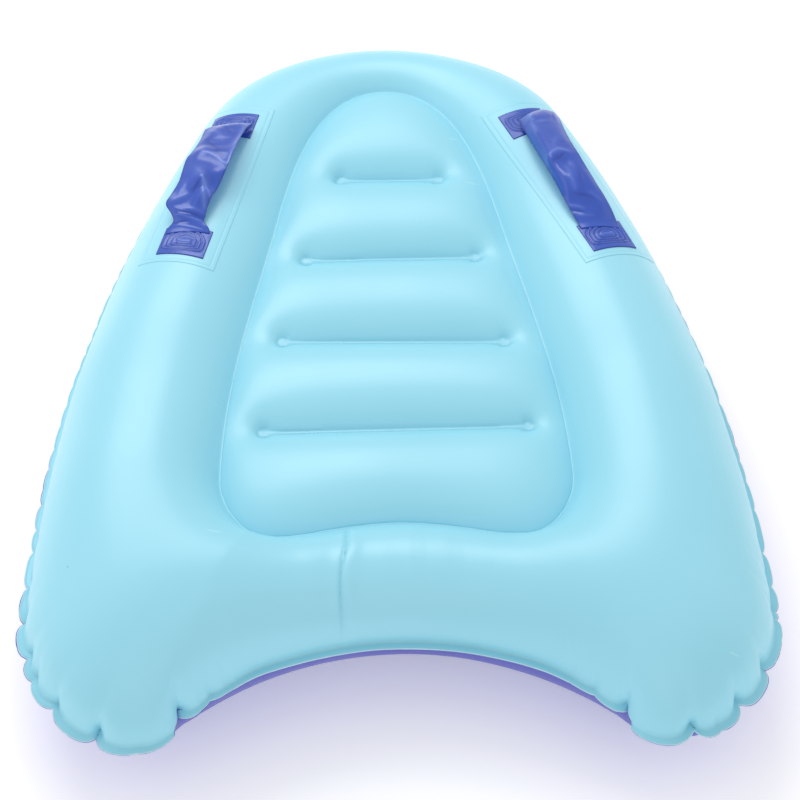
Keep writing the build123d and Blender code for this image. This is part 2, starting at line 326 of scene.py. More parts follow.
def solve_squares(points, triangles, held, values):
    """Squared heights with curvature minus two over a flat triangle mesh, by conjugate gradients."""
    count = len(points)
    mass = np.zeros(count)
    ends, pull = [], []
    for a, b, c in ((0, 1, 2), (1, 2, 0), (2, 0, 1)):
        cot, area = cotangents(*(points[triangles[:, k]] for k in (a, b, c)))
        ends.append(triangles[:, [b, c]])
        pull.append(cot / 2)
        mass += np.bincount(triangles[:, a], area / 6, count)
    (i, j), w = np.concatenate(ends).T, np.concatenate(pull)

    def stiffness(f):
        d = w * (f[i] - f[j])
        return np.bincount(i, d, count) - np.bincount(j, d, count)

    scale = np.bincount(i, w, count) + np.bincount(j, w, count) + 1e-9
    fixed = np.where(held, values, 0.0)
    r = np.where(held, 0.0, 2 * mass - stiffness(fixed))
    x, z = np.zeros(count), r / scale
    p, rz = z.copy(), (r * z).sum()
    for step in range(4000):
        ap = np.where(held, 0.0, stiffness(p))
        alpha = rz / (p * ap).sum()
        x += alpha * p
        r -= alpha * ap
        if np.abs(r).max() < 1e-11:
            break
        z = r / scale
        rz, last = (r * z).sum(), rz
        p = z + p * (rz / last)
    print("heights solved in", step, "steps for", count, "points")
    return x + fixed


def grid_faces(columns, rows, closed=True, flip=False):
    """Four-cornered faces of a grid stored column by column."""
    i = np.arange(columns if closed else columns - 1)[:, None] * rows
    j = (i + rows) % (columns * rows)
    k = np.arange(rows - 1)[None, :]
    faces = np.stack([i + k, j + k, j + k + 1, i + k + 1], -1).reshape(-1, 4)
    return faces[:, ::-1] if flip else faces


def solve_ring(plan):
    quads = grid_faces(*plan.shape[:2])
    triangles = np.concatenate([quads[:, [0, 1, 2]], quads[:, [0, 2, 3]]])
    held = np.zeros(plan.shape[:2], bool)
    held[:, [0, -1]] = True
    values = np.zeros(plan.shape[:2])
    values[:, 0] = WELD * WELD
    squares = solve_squares(plan.reshape(-1, 2), triangles, held.ravel(), values.ravel())
    return np.sqrt(np.maximum(squares, 0)).reshape(plan.shape[:2])


height = solve_ring(plan)
print("crest of the ring, mm:", [round(height[k].max() * 1000, 1) for k in range(0, COLUMNS + 1, 130)])

# %% [markdown]
# The tubes can't swell past the height that the frame gives them, because the board would lift off
# the floor. A soft limit leaves low tubes alone and eases only the fattest part of the lobes.

# %% Limit the crest
TUBE_LIMIT = 79 * MM
LIMIT_POWER = 16
crest = height.max(axis=1)
height /= ((1 + (crest / TUBE_LIMIT) ** LIMIT_POWER) ** (1 / LIMIT_POWER))[:, None]
height[:, 0] = WELD
print("highest crest after the limit, mm:", round(height.max() * 1000, 2))

# %% [markdown]
# ## Puckers along the seam
# The sheets were cut flat. Where the outline turns outward, blowing the tube up pulls the seam in and
# leaves it too long for its new path, so it gathers in notches with short creases above them. In the
# hollow tail the seam is stretched instead and stays smooth.
#
# A cloth solver could find such notches, but not at chosen places and not in a few seconds for a
# sheet this long. So each notch is written down as its distance along the seam, its depth, its width
# and how far its crease runs up the tube, and small even ones are spread along the sides.

# %% Notches
# distance from the nose, depth, width, reach, lean, all in millimetres but the last
RIGHT_NOTCHES = [
    (702, 2.0, 4, 20, 0.0),
    (746, 3.5, 4, 24, 0.1),
    (780, 3.5, 4, 24, 0.0),
    (803, 4.5, 3, 26, 0.0),
    (812, 5.0, 3, 30, 0.1),
    (860, 9.0, 5, 44, 0.1),
    (903, 12.0, 5, 58, 0.0),
    (928, 2.0, 4, 26, 0.0),
    (948, 13.0, 5, 62, -0.05),
    (1001, 13.0, 6, 66, -0.2),
    (1030, 2.5, 5, 26, -0.1),
]
LEFT_NOTCHES = [
    (684, 2.0, 4, 20, 0.0),
    (711, 3.0, 4, 22, 0.0),
    (733, 3.5, 4, 22, 0.0),
    (770, 4.5, 4, 28, 0.1),
    (802, 6.5, 4, 34, 0.0),
    (838, 8.0, 5, 44, 0.05),
    (859, 5.0, 4, 36, 0.0),
    (891, 8.5, 5, 50, 0.0),
    (934, 14.0, 5, 90, -0.05),
    (962, 1.5, 5, 30, 0.0),
    (1002, 15.0, 6, 74, -0.25),
    (1030, 3.0, 5, 30, -0.1),
]


def side_notches(seed):
    """Small gathers with uneven steps along the nose and the straight side."""
    rng = np.random.default_rng(seed)
    place, found = 6.0, []
    while place < 690:
        found.append((place, rng.uniform(0.7, 2.0), rng.uniform(3.5, 5.0), rng.uniform(12, 24), 0.0))
        place += rng.uniform(15, 27)
    return found


along_half = lengths_along(seam_half)
column_side = np.r_[np.ones(COLUMNS + 1), -np.ones(COLUMNS - 1)]
column_place = np.r_[along_half, along_half[-2:0:-1]]
NOTCHES = {1: side_notches(4) + RIGHT_NOTCHES, -1: side_notches(9) + LEFT_NOTCHES}
LOBE_DROOP = 2.6 * MM  # of the welded edge, which hangs down round the lobes
SHORT_FADE = 12 * MM  # over which three quarters of a gather's depth fades away from the seam
WIDENS_OVER = 45 * MM  # distance from the seam at which a gather is twice as wide


def gather(place, side, from_seam):
    """How far the sheet is drawn in by the notches, for a place along the seam and a distance up."""
    total = np.zeros(np.broadcast(place, from_seam).shape)
    for s, rows in NOTCHES.items():
        for at, depth, wide, reach, lean in rows:
            x = place - at * MM - lean * from_seam
            sharp = 0.7 * MM + 0.05 * from_seam
            spread = wide * MM * (1 + from_seam / WIDENS_OVER)
            valley = np.exp(-(np.sqrt(x * x + sharp * sharp) - sharp) / spread)
            fade = 0.75 * np.exp(-from_seam / SHORT_FADE)
            fade = fade + 0.25 * np.exp(-from_seam / (reach * MM * 0.45))
            total += (side == s) * depth * MM * valley * fade
    return total


def lobe_mask(place):
    """1 round the lobes, where the seam gathers hardest, and 0 elsewhere."""
    rise = np.clip((place - 0.72) / 0.12, 0, 1)
    fall = np.clip((1.08 - place) / 0.06, 0, 1)
    return np.minimum(rise, fall) ** 2 * (3 - 2 * np.minimum(rise, fall))


def fine_wrinkles(place, side, from_seam, seed):
    """Short soft ridges that run up from the seam of each lobe."""
    rng = np.random.default_rng(seed)
    total = np.zeros(np.broadcast(place, from_seam).shape)
    for _ in range(110):
        at, s = rng.uniform(0.76, 1.06), rng.choice((-1, 1))
        start, reach = rng.uniform(0, 34) * MM, rng.uniform(9, 26) * MM
        wide, size = rng.uniform(1.6, 4.2) * MM, rng.uniform(-0.45, 0.30) * MM
        lean = rng.uniform(-0.25, 0.25)
        x = place - at - lean * from_seam
        total += (side == s) * size * np.exp(-((x / wide) ** 2) - ((from_seam - start) / reach) ** 2)
    return total


def flutter(place, side):
    """How far the loose welded edge stands up or down."""
    wave = 0.5 * np.sin(place * 61 + side) + 0.4 * np.sin(place * 143 + 2 * side)
    lift = wave * 0.9 * MM * (0.35 + lobe_mask(place)) - LOBE_DROOP * lobe_mask(place)
    for s, rows in NOTCHES.items():
        for number, (at, depth, wide, _, _) in enumerate(rows):
            way = 1 if number % 2 else -0.7
            x = (place - at * MM) / (1.7 * wide * MM)
            lift = lift + (side == s) * way * 0.28 * depth * MM * np.exp(-x * x)
    return lift


print(len(NOTCHES[1]) + len(NOTCHES[-1]), "notches")

# %% [markdown]
# Away from the seam the ring isn't perfect either. One long crease crosses the tail left of the
# middle, where the sheet was folded in its box, and a grain of dirt is caught in it. Faint upright
# ripples sit beside it, and slow swells of under a millimetre keep the highlights from looking machined.

# %% Creases and swells
CREASE_X = -44 * MM
CREASE_TOP = DECK_TAIL_Y - 8 * MM
CREASE_FOOT = NOTCH_Y - 2 * MM
DIRT_Y = -258 * MM
# place, height and width in millimetres
RIPPLES = [(-12, 0.20, 5), (8, 0.30, 4), (22, -0.28, 4), (37, 0.30, 5), (52, -0.22, 4), (70, 0.24, 6),
           (95, -0.18, 6), (-75, 0.22, 7)]


def bell(distance, wide):
    return np.exp(-((distance / wide) ** 2))


def beside_crease(x, y):
    """Sideways distance from the box fold, and how far down the fold, from 0 to 1."""
    t = np.clip((CREASE_TOP - y) / (CREASE_TOP - CREASE_FOOT), 0, 1)
    return x - (CREASE_X - 5 * MM * t + 1.2 * MM * np.sin(7 * t)), t


def tail_creases(x, y):
    """Height change over the tail from the box fold and the ripples beside it."""
    d, t = beside_crease(x, y)
    near = (y < CREASE_TOP + 8 * MM) * (0.35 + 0.65 * np.sin(np.pi * np.clip(t * 1.05, 0, 1)) ** 0.5)
    fold = -2.2 * MM * np.exp(-np.abs(d) / (1.6 * MM)) + 1.5 * MM * bell(d - 6 * MM, 7 * MM)
    fold -= 0.8 * MM * bell(d + 9 * MM, 8 * MM)
    ripples = np.zeros_like(x)
    for at, size, wide in RIPPLES:
        ripples = ripples + size * MM * bell(x - at * MM, wide * MM)
    fade = bell(y - (DECK_TAIL_Y - 42 * MM), 34 * MM) * (y < DECK_TAIL_Y)
    return fold * near + ripples * fade


def painted_fold_shade_and_dirt(x, y):
    """Painted shade along the bottom of the box fold, and the grain of dirt caught in it."""
    d, t = beside_crease(x, y)
    shade = 1.7 * np.exp(-np.abs(d) / (1.3 * MM)) * (y < CREASE_TOP) * np.sin(np.pi * t) ** 0.4
    from_dirt = np.hypot(x - CREASE_X + 0.5 * MM, y - DIRT_Y)
    from_dirt[:, ROWS:] = 1.0
    shade[np.unravel_index(from_dirt.argmin(), from_dirt.shape)] = 3.0
    return shade


def slow_swells(p, seed):
    """Sum of a few long waves over the plan, within about half a millimetre."""
    rng = np.random.default_rng(seed)
    total = np.zeros(p.shape[:-1])
    for _ in range(14):
        way = rng.normal(size=2)
        way *= rng.uniform(18, 60) / np.linalg.norm(way)
        size = rng.uniform(0.03, 0.11) * MM
        total += size * np.sin(p[..., 0] * way[0] + p[..., 1] * way[1] + rng.uniform(0, 6.3))
    return total


print("box fold from", round(CREASE_TOP, 3), "to", round(CREASE_FOOT, 3), "m along the board")

# %% [markdown]
# ## The ring's two sheets
# Each sheet is one grid: a lip under the mattress, the arch, and the flat welded edge outside the
# seam. The top is aqua and the bottom is dark blue, and they only touch along that edge. A Solidify
# modifier gives the sheet its thickness, so the part is a closed skin and not a paper-thin surface.

# %% Build a ring sheet
SHEET = 0.6 * MM
LIP = 5 * MM


def grid_normals(p, closed=True):
    """Unit normals of a grid of points whose first axis runs round the board."""
    if closed:
        du = np.roll(p, -1, 0) - np.roll(p, 1, 0)
    else:
        du = np.gradient(p, axis=0)
    dv = np.gradient(p, axis=1)
    n = np.cross(du, dv)
    return n / np.maximum(np.linalg.norm(n, axis=-1, keepdims=True), 1e-12)


RING_VALVE = np.array([0.0, 351.5 * MM])
DECK_VALVE = np.array([0.0, 139.5 * MM])
VALVE_HOLE = 12 * MM
VALVE_SUNK = 1.3 * MM  # of the skin below the rigid one, so that the valve's flange stays clear of it
TIP_SWELL = 12 * MM  # of the tail tip of each lobe
TIP_PLACE = 0.976
LOBE_SWELL = 3.0 * MM
RIM_SWELL = 2.2 * MM  # of each lobe close to its seam


def smooth(t):
    t = np.clip(t, 0, 1)
    return t * t * (3 - 2 * t)


def near_valve(points, valve):
    """1 on the flat place under a valve's flange, fading to 0 outside it."""
    away = np.linalg.norm(points - valve, axis=-1)
    return 1 - smooth((away - 20 * MM) / (30 * MM))


def ring_grid(seed):
    """Points of the upper sheet, with the middle plane at zero, and their distance from the seam."""
    p = np.concatenate([plan, height[..., None]], -1)
    plain = 0.0
    if seed == 2:
        plain = near_valve(plan, RING_VALVE)
        arc = ((width**2 + WELD * WELD) / (2 * width))[:, None]
        true_arc = np.sqrt(np.maximum(arc**2 - (across - width[:, None] + arc) ** 2, 0))
        p[..., 2] += plain * (true_arc - VALVE_SUNK - p[..., 2])
    steps = np.linalg.norm(np.diff(p, axis=1), axis=-1)
    from_seam = np.concatenate([np.cumsum(steps[:, ::-1], 1)[:, ::-1], np.zeros((around, 1))], 1)
    normal = grid_normals(p)
    normal *= np.sign(normal[:, ROWS // 2, 2])[:, None, None]
    place, side = column_place[:, None], column_side[:, None]
    hold = np.clip(np.arange(ROWS + 1) / 3, 0, 1)[None, :]
    drawn = gather(place, side, from_seam)
    tip = TIP_SWELL * bell(place - TIP_PLACE, 0.036)
    swell = (LOBE_SWELL * lobe_mask(place) + tip) * np.exp(-from_seam / (48 * MM))
    swell += RIM_SWELL * lobe_mask(place) * np.exp(-from_seam / (14 * MM))
    push = (swell - drawn + fine_wrinkles(place, side, from_seam, seed)) * hold
    push += slow_swells(p[..., :2], seed) * hold
    if seed == 1:
        push += tail_creases(p[..., 0], p[..., 1]) * hold * np.clip(from_seam / (12 * MM), 0, 1)
    push *= 1 - plain
    p = p + normal * push[..., None]
    rise = flutter(column_place, column_side)
    p[..., 2] = np.maximum(p[..., 2], 0)
    p[..., 2] += 0.4 * rise[:, None] * np.exp(-from_seam / (12 * MM))
    return p, from_seam, rise


def add_value(obj, name, values):
    """Stores one number per corner, for the materials to read."""
    layer = obj.data.attributes.new(name, "FLOAT", "POINT")
    layer.data.foreach_set("value", np.asarray(values, np.float32).ravel())


def thicken(obj, thickness):
    skin = obj.modifiers.new("sheet_thickness", "SOLIDIFY")
    skin.thickness = thickness
    skin.offset = -1.0
    skin.use_even_offset = False


EDGE_STEPS = (0.25, 0.6, 1.0)  # places across the welded edge
HALF_GAP = 0.5 * MM  # from the middle plane to each sheet
LOWEST = 0.2 * MM  # above the floor


def ring_sheet(name, side_up, seed):
    """Top sheet (side_up 1) or bottom sheet (-1) of the ring, and its grid of points."""
    p, from_seam, rise = ring_grid(seed)
    lip = np.concatenate([foot - outward * LIP, np.full((around, 1), WELD)], 1)
    rows, place = [lip], [from_seam[:, 0] + LIP]
    rows += [p[:, k] for k in range(ROWS + 1)]
    place += [from_seam[:, k] for k in range(ROWS + 1)]
    seam_row = p[:, ROWS]
    step = np.roll(seam_row, -1, 0) - np.roll(seam_row, 1, 0)
    out = np.stack([-step[:, 1], step[:, 0]], 1)
    out /= np.linalg.norm(out, axis=1, keepdims=True)
    out *= np.sign((out * outward).sum(1))[:, None]
    out = 0.35 * out + 0.65 * outward
    for part in EDGE_STEPS:
        edge = seam_row.copy()
        edge[:, :2] += out * FLANGE * part
        edge[:, 2] = rise * (0.4 + 0.6 * part)
        rows.append(edge)
        place.append(np.full(around, -FLANGE * part))
    grid = np.stack(rows, 1)
    grid[..., 2] = (grid[..., 2] + HALF_GAP) * side_up
    if side_up < 0:
        for k, part in zip(range(-4, 0), (0.0,) + EDGE_STEPS):
            grid[:, k, 2] = rise * (0.4 + 0.6 * part) - HALF_GAP
    grid[:, :2, 2] = side_up * WELD
    grid[..., 2] = np.maximum(grid[..., 2] + MIDDLE, LOWEST)
    faces = grid_faces(around, grid.shape[1], True, side_up < 0)
    obj = new_object(name, grid.reshape(-1, 3), faces)
    add_value(obj, "from_seam", np.stack(place, 1) * 1000)
    thicken(obj, SHEET)
    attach(obj, "board")
    return obj, grid


def cut_hole(obj, valve):
    """Opens the sheet for a valve's well and rounds the hole's edge."""
    mesh = bmesh.new()
    mesh.from_mesh(obj.data)
    centres = [np.array(face.calc_center_median()[:2]) for face in mesh.faces]
    inside = [f for f, centre in zip(mesh.faces, centres) if np.linalg.norm(centre - valve) < VALVE_HOLE]
    bmesh.ops.delete(mesh, geom=inside, context="FACES")
    for edge in mesh.edges:
        middle = np.array((edge.verts[0].co + edge.verts[1].co)[:2]) / 2
        if len(edge.link_faces) == 1 and np.linalg.norm(middle - valve) < 2 * VALVE_HOLE:
            for corner in edge.verts:
                ray = np.array(corner.co[:2]) - valve
                corner.co[:2] = valve + ray / np.linalg.norm(ray) * VALVE_HOLE
    mesh.to_mesh(obj.data)
    mesh.free()


ring_top, top_grid = ring_sheet("ring_top_vinyl", 1, 1)
# The "line" number darkens the sheet: painted shade along the box fold, and one grain of dirt in it.
add_value(ring_top, "line", painted_fold_shade_and_dirt(top_grid[..., 0], top_grid[..., 1]))
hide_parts("ring_top_skin")
ring_bottom, _ = ring_sheet("ring_bottom_vinyl", -1, 2)
cut_hole(ring_bottom, RING_VALVE)
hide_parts("ring_bottom_skin")
print("ring sheets have", len(ring_top.data.vertices), "corners each")

# %% [markdown]
# ## The mattress panels
# The mattress is two flat sheets tied together by four webs. Each web is welded to the sheet in a
# straight row, with a round eyelet at both ends that keeps the weld from tearing. Air then lifts the
# sheet between the rows into soft rolls.
#
# The sheet is a flat net of triangles whose lines follow the outline and the weld rows exactly, which
# a plain grid couldn't do. The law of squared heights gives a first shape, and a short cloth
# simulation under air pressure then lets the sheet settle round the eyelets, as the real one does.

# %% Weld rows
# far ends of each row, in millimetres: left x, left y, right x, right y
WELD_ROWS = [
    (-49.7, 189.5, 53.3, 189.1),
    (-82.6, 85.6, 84.0, 88.0),
    (-103.1, -12.7, 104.7, -15.8),
    (-118.8, -116.0, 119.7, -112.8),
]
EYELET = 6.0 * MM
STRIP = 2.1 * MM
TAPER = 6.0 * MM
NET = 3.6 * MM  # spacing of the net's points


def row_outline(row):
    """Closed outline of one weld row: a narrow strip that widens to a round eyelet at each end."""
    left, right = np.array(row[:2]) * MM, np.array(row[2:]) * MM
    way = (right - left) / np.linalg.norm(right - left)
    half = np.linalg.norm(right - left) / 2 - EYELET
    turn = np.linspace(0, math.radians(143), 12)
    cap = np.stack([half + EYELET * np.cos(turn), EYELET * np.sin(turn)], 1)
    x = np.arange(half - 0.8 * EYELET - NET * 0.6, 0, -NET)
    w = STRIP + (0.6 * EYELET - STRIP) * np.exp(-(half - x - 0.8 * EYELET) / TAPER)
    quarter = np.concatenate([cap, np.stack([x, w], 1)])
    top = np.concatenate([quarter, (quarter * (-1, 1))[::-1]])
    loop = np.concatenate([top, (top[1:-1] * (1, -1))[::-1]])
    return (left + right) / 2 + loop[:, :1] * way + loop[:, 1:] * np.array([-way[1], way[0]])


def inside_loop(points, loop):
    """Which points lie inside a closed outline, by counting crossings."""
    a, b = loop, np.roll(loop, -1, 0)
    x, y = points[:, 0, None], points[:, 1, None]
    spans = (a[:, 1] > y) != (b[:, 1] > y)
    slope = (b[:, 0] - a[:, 0]) / np.where(b[:, 1] == a[:, 1], 1e-9, b[:, 1] - a[:, 1])
    return (spans & (x < a[:, 0] + slope * (y - a[:, 1]))).sum(1) % 2 == 1


def clear_of(points, line, gap):
    """Which points are further than a gap from every point of a line, worked out 500 at a time."""
    parts = [points[k:k + 500, None] for k in range(0, len(points), 500)]
    near = np.concatenate([((part - line) ** 2).sum(-1).min(1) for part in parts])
    return near > gap * gap


rows_outlines = [row_outline(row) for row in WELD_ROWS]
print("weld rows have", [len(line) for line in rows_outlines], "points")

# %% Net of triangles for a panel
weld_loop = both_halves(resampled(deck_half, 400))
PANEL_BASE = WELD + SHEET
ROLL_DEPTH = 45 * MM  # from a roll's weld down to the middle of its arc
RIM_ROWS = (1.6 * MM, 4.0 * MM)  # places of the two even rows of triangles inside the weld
LEAST_BULGE = 0.15  # share of the cloth's sideways movement that is kept at the weld
RIM_WIDTH = 26 * MM  # over which that share grows to the whole
ROW_PRESSED = 0.45 * MM


def inset_loop(loop, depth):
    """The same loop moved inward, so the steep rim of the panel gets even rows of triangles."""
    step = np.roll(loop, -1, 0) - np.roll(loop, 1, 0)
    normal = np.stack([-step[:, 1], step[:, 0]], 1)
    normal *= depth / np.linalg.norm(normal, axis=1, keepdims=True)
    moved = loop + normal
    return moved if inside_loop(moved, loop).mean() > 0.5 else loop - normal


def panel_net(valve=None):
    """Flat triangles inside the outline, with every weld row's edge followed."""
    low, high = weld_loop.min(0), weld_loop.max(0)
    x, y = np.meshgrid(np.arange(low[0], high[0], NET), np.arange(low[1], high[1], NET * 0.866))
    x[1::2] += NET / 2
    points = np.stack([x.ravel(), y.ravel()], 1)
    points = points[inside_loop(points, weld_loop)]
    loops = [weld_loop] + [inset_loop(weld_loop, depth) for depth in RIM_ROWS] + rows_outlines
    if valve is not None:
        turn = np.linspace(0, 2 * math.pi, 28, endpoint=False)
        loops.append(valve + VALVE_HOLE * np.stack([np.cos(turn), np.sin(turn)], 1))
    for loop in loops:
        points = points[clear_of(points, loop, NET * 0.55)]
    edges, start = [], 0
    for loop in loops:
        n = len(loop)
        edges += [(start + k, start + (k + 1) % n) for k in range(n)]
        start += n
    everything = np.concatenate(loops + [points])
    flat, _, faces, _, _, _ = delaunay_2d_cdt([Vector(p) for p in everything], edges, [], 0, 1e-6)
    flat = np.array([tuple(p) for p in flat])
    faces = np.array(faces)
    centre = flat[faces].mean(1)
    keep = inside_loop(centre, weld_loop)
    if valve is not None:
        keep &= np.linalg.norm(centre - valve, axis=1) > VALVE_HOLE * 0.99
    faces = faces[keep]
    used = np.unique(faces)
    number = np.full(len(flat), -1)
    number[used] = np.arange(len(used))
    return flat[used], number[faces]


def settle(obj, held, pressure=5.0, frames=22):
    """Runs cloth under air pressure with some points held, and keeps the shape it ends in."""
    group = obj.vertex_groups.new(name="held")
    group.add([int(k) for k in np.flatnonzero(held)], 1.0, "REPLACE")
    cloth = obj.modifiers.new("air", "CLOTH")
    facts = cloth.settings
    facts.quality = 6
    facts.mass = 0.25
    facts.tension_stiffness = facts.compression_stiffness = 18
    facts.shear_stiffness = 12
    facts.bending_stiffness = 0.6
    facts.use_pressure = True
    facts.uniform_pressure_force = pressure
    facts.effector_weights.gravity = 0
    facts.vertex_group_mass = "held"
    cloth.collision_settings.use_collision = False
    cloth.point_cache.frame_end = frames
    for frame_number in range(1, frames + 1):
        bpy.context.scene.frame_set(frame_number)
    seen = obj.evaluated_get(bpy.context.evaluated_depsgraph_get()).to_mesh()
    places = np.empty(len(seen.vertices) * 3)
    seen.vertices.foreach_get("co", places)
    obj.modifiers.remove(cloth)
    obj.vertex_groups.remove(group)
    bpy.context.scene.frame_set(1)
    obj.data.vertices.foreach_set("co", places)
    obj.data.update()
    return places.reshape(-1, 3)


def mattress_panel(name, side_up, valve=None):
    """Top panel (side_up 1) or bottom panel (-1) of the mattress."""
    flat, faces = panel_net(valve)
    in_row = np.zeros(len(flat), bool)
    for loop in rows_outlines:
        in_row |= inside_loop(flat, loop) | ~clear_of(flat, loop, 0.05 * MM)
    held = in_row | ~clear_of(flat, weld_loop, 0.05 * MM)
    squares = solve_squares(flat, faces, held, np.full(len(flat), ROLL_DEPTH**2))
    rise = np.sqrt(np.maximum(squares, 0)) - ROLL_DEPTH
    rise = CROWN * 1.12 * np.tanh(rise / (CROWN * 1.12))
    first, second, third = flat[faces].transpose(1, 0, 2)
    turned = np.cross(second - first, third - first) * side_up < 0
    faces[turned] = faces[turned][:, ::-1]
    start = np.column_stack([flat, side_up * 0.75 * rise])
    obj = new_object(name, start, faces)
    shape = settle(obj, held)
    shape[:, 2] *= rise.max() / np.abs(shape[:, 2]).max()
    from_edge = np.linalg.norm(flat[:, None] - weld_loop[None], axis=2).min(1)
    bulge = LEAST_BULGE + (1 - LEAST_BULGE) * smooth(from_edge / RIM_WIDTH)
    shape[:, :2] = flat + (shape[:, :2] - flat) * bulge[:, None]
    shape[:, 2] -= side_up * ROW_PRESSED * in_row
    if valve is not None:
        plain = near_valve(flat, valve)
        shape[:, 2] += plain * (side_up * CROWN - shape[:, 2])
        shape[:, :2] += plain[:, None] * (flat - shape[:, :2])
    shape[:, 2] += MIDDLE + side_up * PANEL_BASE
    shape[:, 2] += side_up * slow_swells(flat, 5) * ~held
    obj.data.vertices.foreach_set("co", shape.ravel())
    obj.data.update()
    # The "weld" number marks the weld rows, which the material darkens as painted shade in their grooves.
    add_value(obj, "weld", in_row.astype(float))
    thicken(obj, SHEET)
    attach(obj, "board")
    top = float(np.abs(shape[:, 2] - MIDDLE).max() - PANEL_BASE) * 1000
    print(name, "has", len(flat), "corners and rises", round(top, 1), "mm")
    return obj


deck = mattress_panel("deck_vinyl", 1)
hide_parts("deck_panel")
hull = mattress_panel("hull_vinyl", -1, DECK_VALVE)
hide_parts("hull_panel")

# %% [markdown]
# ## The weld bead
# The hot tool that joins the mattress to the ring squeezes a thin bead of plastic out along the
# weld. It is under three millimetres wide, but it catches the light all the way round, so it is real
# geometry: a low rounded strip swept along the weld, with small lumps where the tool was lifted.

# %% Weld beads
BEAD_HALF = 1.3 * MM
BEAD_RISE = 1.0 * MM


def weld_bead(name, side_up, seed):
    """Low rounded strip along the mattress weld, on the top (side_up 1) or the bottom (-1)."""
    rng = np.random.default_rng(seed)
    step = np.roll(weld_loop, -1, 0) - np.roll(weld_loop, 1, 0)
    normal = np.stack([step[:, 1], -step[:, 0]], 1)
    normal /= np.linalg.norm(normal, axis=1, keepdims=True)
    along = np.r_[0, np.cumsum(np.linalg.norm(np.diff(weld_loop, axis=0), axis=1))]
    lumps = 1 + 0.10 * np.sin(along * 310) + 0.08 * np.sin(along * 97 + 1)
    for place, size in zip(rng.uniform(0, along[-1], 9), rng.uniform(0.3, 0.9, 9)):
        lumps += size * np.exp(-(((along - place) / (2.2 * MM)) ** 2))
    rows = []
    for t in np.linspace(-1, 1, 9):
        place = weld_loop + normal * (t * BEAD_HALF * (0.8 + 0.2 * lumps))[:, None]
        z = PANEL_BASE + BEAD_RISE * lumps * (1 - t * t) - 0.3 * MM
        rows.append(np.column_stack([place, MIDDLE + side_up * z]))
    grid = np.stack(rows, 1)
    obj = new_object(name, grid.reshape(-1, 3), grid_faces(len(weld_loop), 9, True, side_up > 0))
    # painted highlight along the bead, through the "crease" number
    add_value(obj, "crease", np.full(len(obj.data.vertices), 0.35))
    thicken(obj, 0.4 * MM)
    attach(obj, "board")
    return obj


deck_bead = weld_bead("deck_weld_bead", 1, 21)
hull_bead = weld_bead("hull_weld_bead", -1, 22)
print("beads follow", len(weld_loop), "points")

# %% [markdown]
# ## The handles
# A handle is four things: a large light patch welded to the ring, two blue end pads stamped on it
# with a D-shaped welding tool, and a soft blue strap that runs from pad to pad. Patch and pads are
# thin sheets, so they are laid on the finished ring: each point of a flat net is dropped onto the
# ring from above and lifted by the sheet's thickness. The two handles of a real board never lie
# alike, so each has its own direction.

# %% Lay sheets on the ring
ring_tree = BVHTree.FromPolygons([Vector(v) for v in top_grid.reshape(-1, 3)],
                                 [tuple(f) for f in grid_faces(around, top_grid.shape[1])])
DROP_FROM = 0.5

# pad centres in millimetres: front x, front y, rear x, rear y
HANDLE_PADS = {"left": (-146, 241, -185, 79), "right": (134, 240, 196, 83)}


def on_ring(x, y):
    """Point and normal of the ring's top sheet under a place in plan."""
    place, normal, _, _ = ring_tree.ray_cast(Vector((x, y, DROP_FROM)), Vector((0, 0, -1)))
    return place, normal if normal.z > 0 else -normal


class Handle:
    """Directions of one handle: along runs from the front pad to the rear one, out to the board's side."""

    def __init__(self, side):
        front_x, front_y, rear_x, rear_y = (v * MM for v in HANDLE_PADS[side])
        self.side = side
        self.front = on_ring(front_x, front_y)[0]
        self.rear = on_ring(rear_x, rear_y)[0]
        run = self.rear - self.front
        self.length = run.length
        self.way = run.normalized()
        flat = Vector((run.x, run.y, 0)).normalized()
        self.out = Vector((-flat.y, flat.x, 0))
        if self.out.x * front_x < 0:
            self.out = -self.out
        self.flat_way = flat
        self.up = self.way.cross(self.out)
        if self.up.z < 0:
            self.up = -self.up

    def plan_place(self, along, aside):
        place = self.front + self.flat_way * along + self.out * aside
        return place.x, place.y


def edge_steps(low, high, pitch, rim):
    """Even places between two edges, with a closer one inside each edge for its rim."""
    count = max(2, round((high - low - 2 * rim) / pitch))
    return np.r_[low, np.linspace(low + rim, high - rim, count + 1), high]


def laid_sheet(name, handle, alongs, asides, lift, profile=None):
    """Net of points dropped on the ring. profile gives extra height at each place."""
    verts = []
    last = (len(alongs) - 1, len(asides) - 1)
    for i, along in enumerate(alongs):
        for k, aside in enumerate(asides):
            place, normal = on_ring(*handle.plan_place(along, aside))
            rim = i in (0, last[0]) or k in (0, last[1])
            rise = 0.05 * MM if rim else lift + (profile(along, aside) if profile else 0.0)
            verts.append(place + normal * rise)
    flip = handle.side == "left"
    obj = new_object(name, verts, grid_faces(len(alongs), len(asides), False, flip))
    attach(obj, "board")
    return obj


handles = {side: Handle(side) for side in HANDLE_PADS}
print({side: round(h.length, 4) for side, h in handles.items()})

# %% Patches
PATCH_FRONT, PATCH_REAR = -31 * MM, 27 * MM
PATCH_INNER, PATCH_OUTER = -34 * MM, 37 * MM
PATCH_SHEET = 0.5 * MM
WELD_LINE = 4.2 * MM  # of the patch's inner line from its edge


def patch_profile(handle):
    low, high = PATCH_FRONT, handle.length + PATCH_REAR

    def profile(along, aside):
        inset = min(along - low, high - along, aside - PATCH_INNER, PATCH_OUTER - aside)
        line = math.exp(-(((inset - WELD_LINE) / (0.5 * MM)) ** 2))
        pillow = smooth((inset - WELD_LINE) / (9 * MM))
        return -0.25 * MM * line + 0.2 * MM * float(pillow)

    return profile


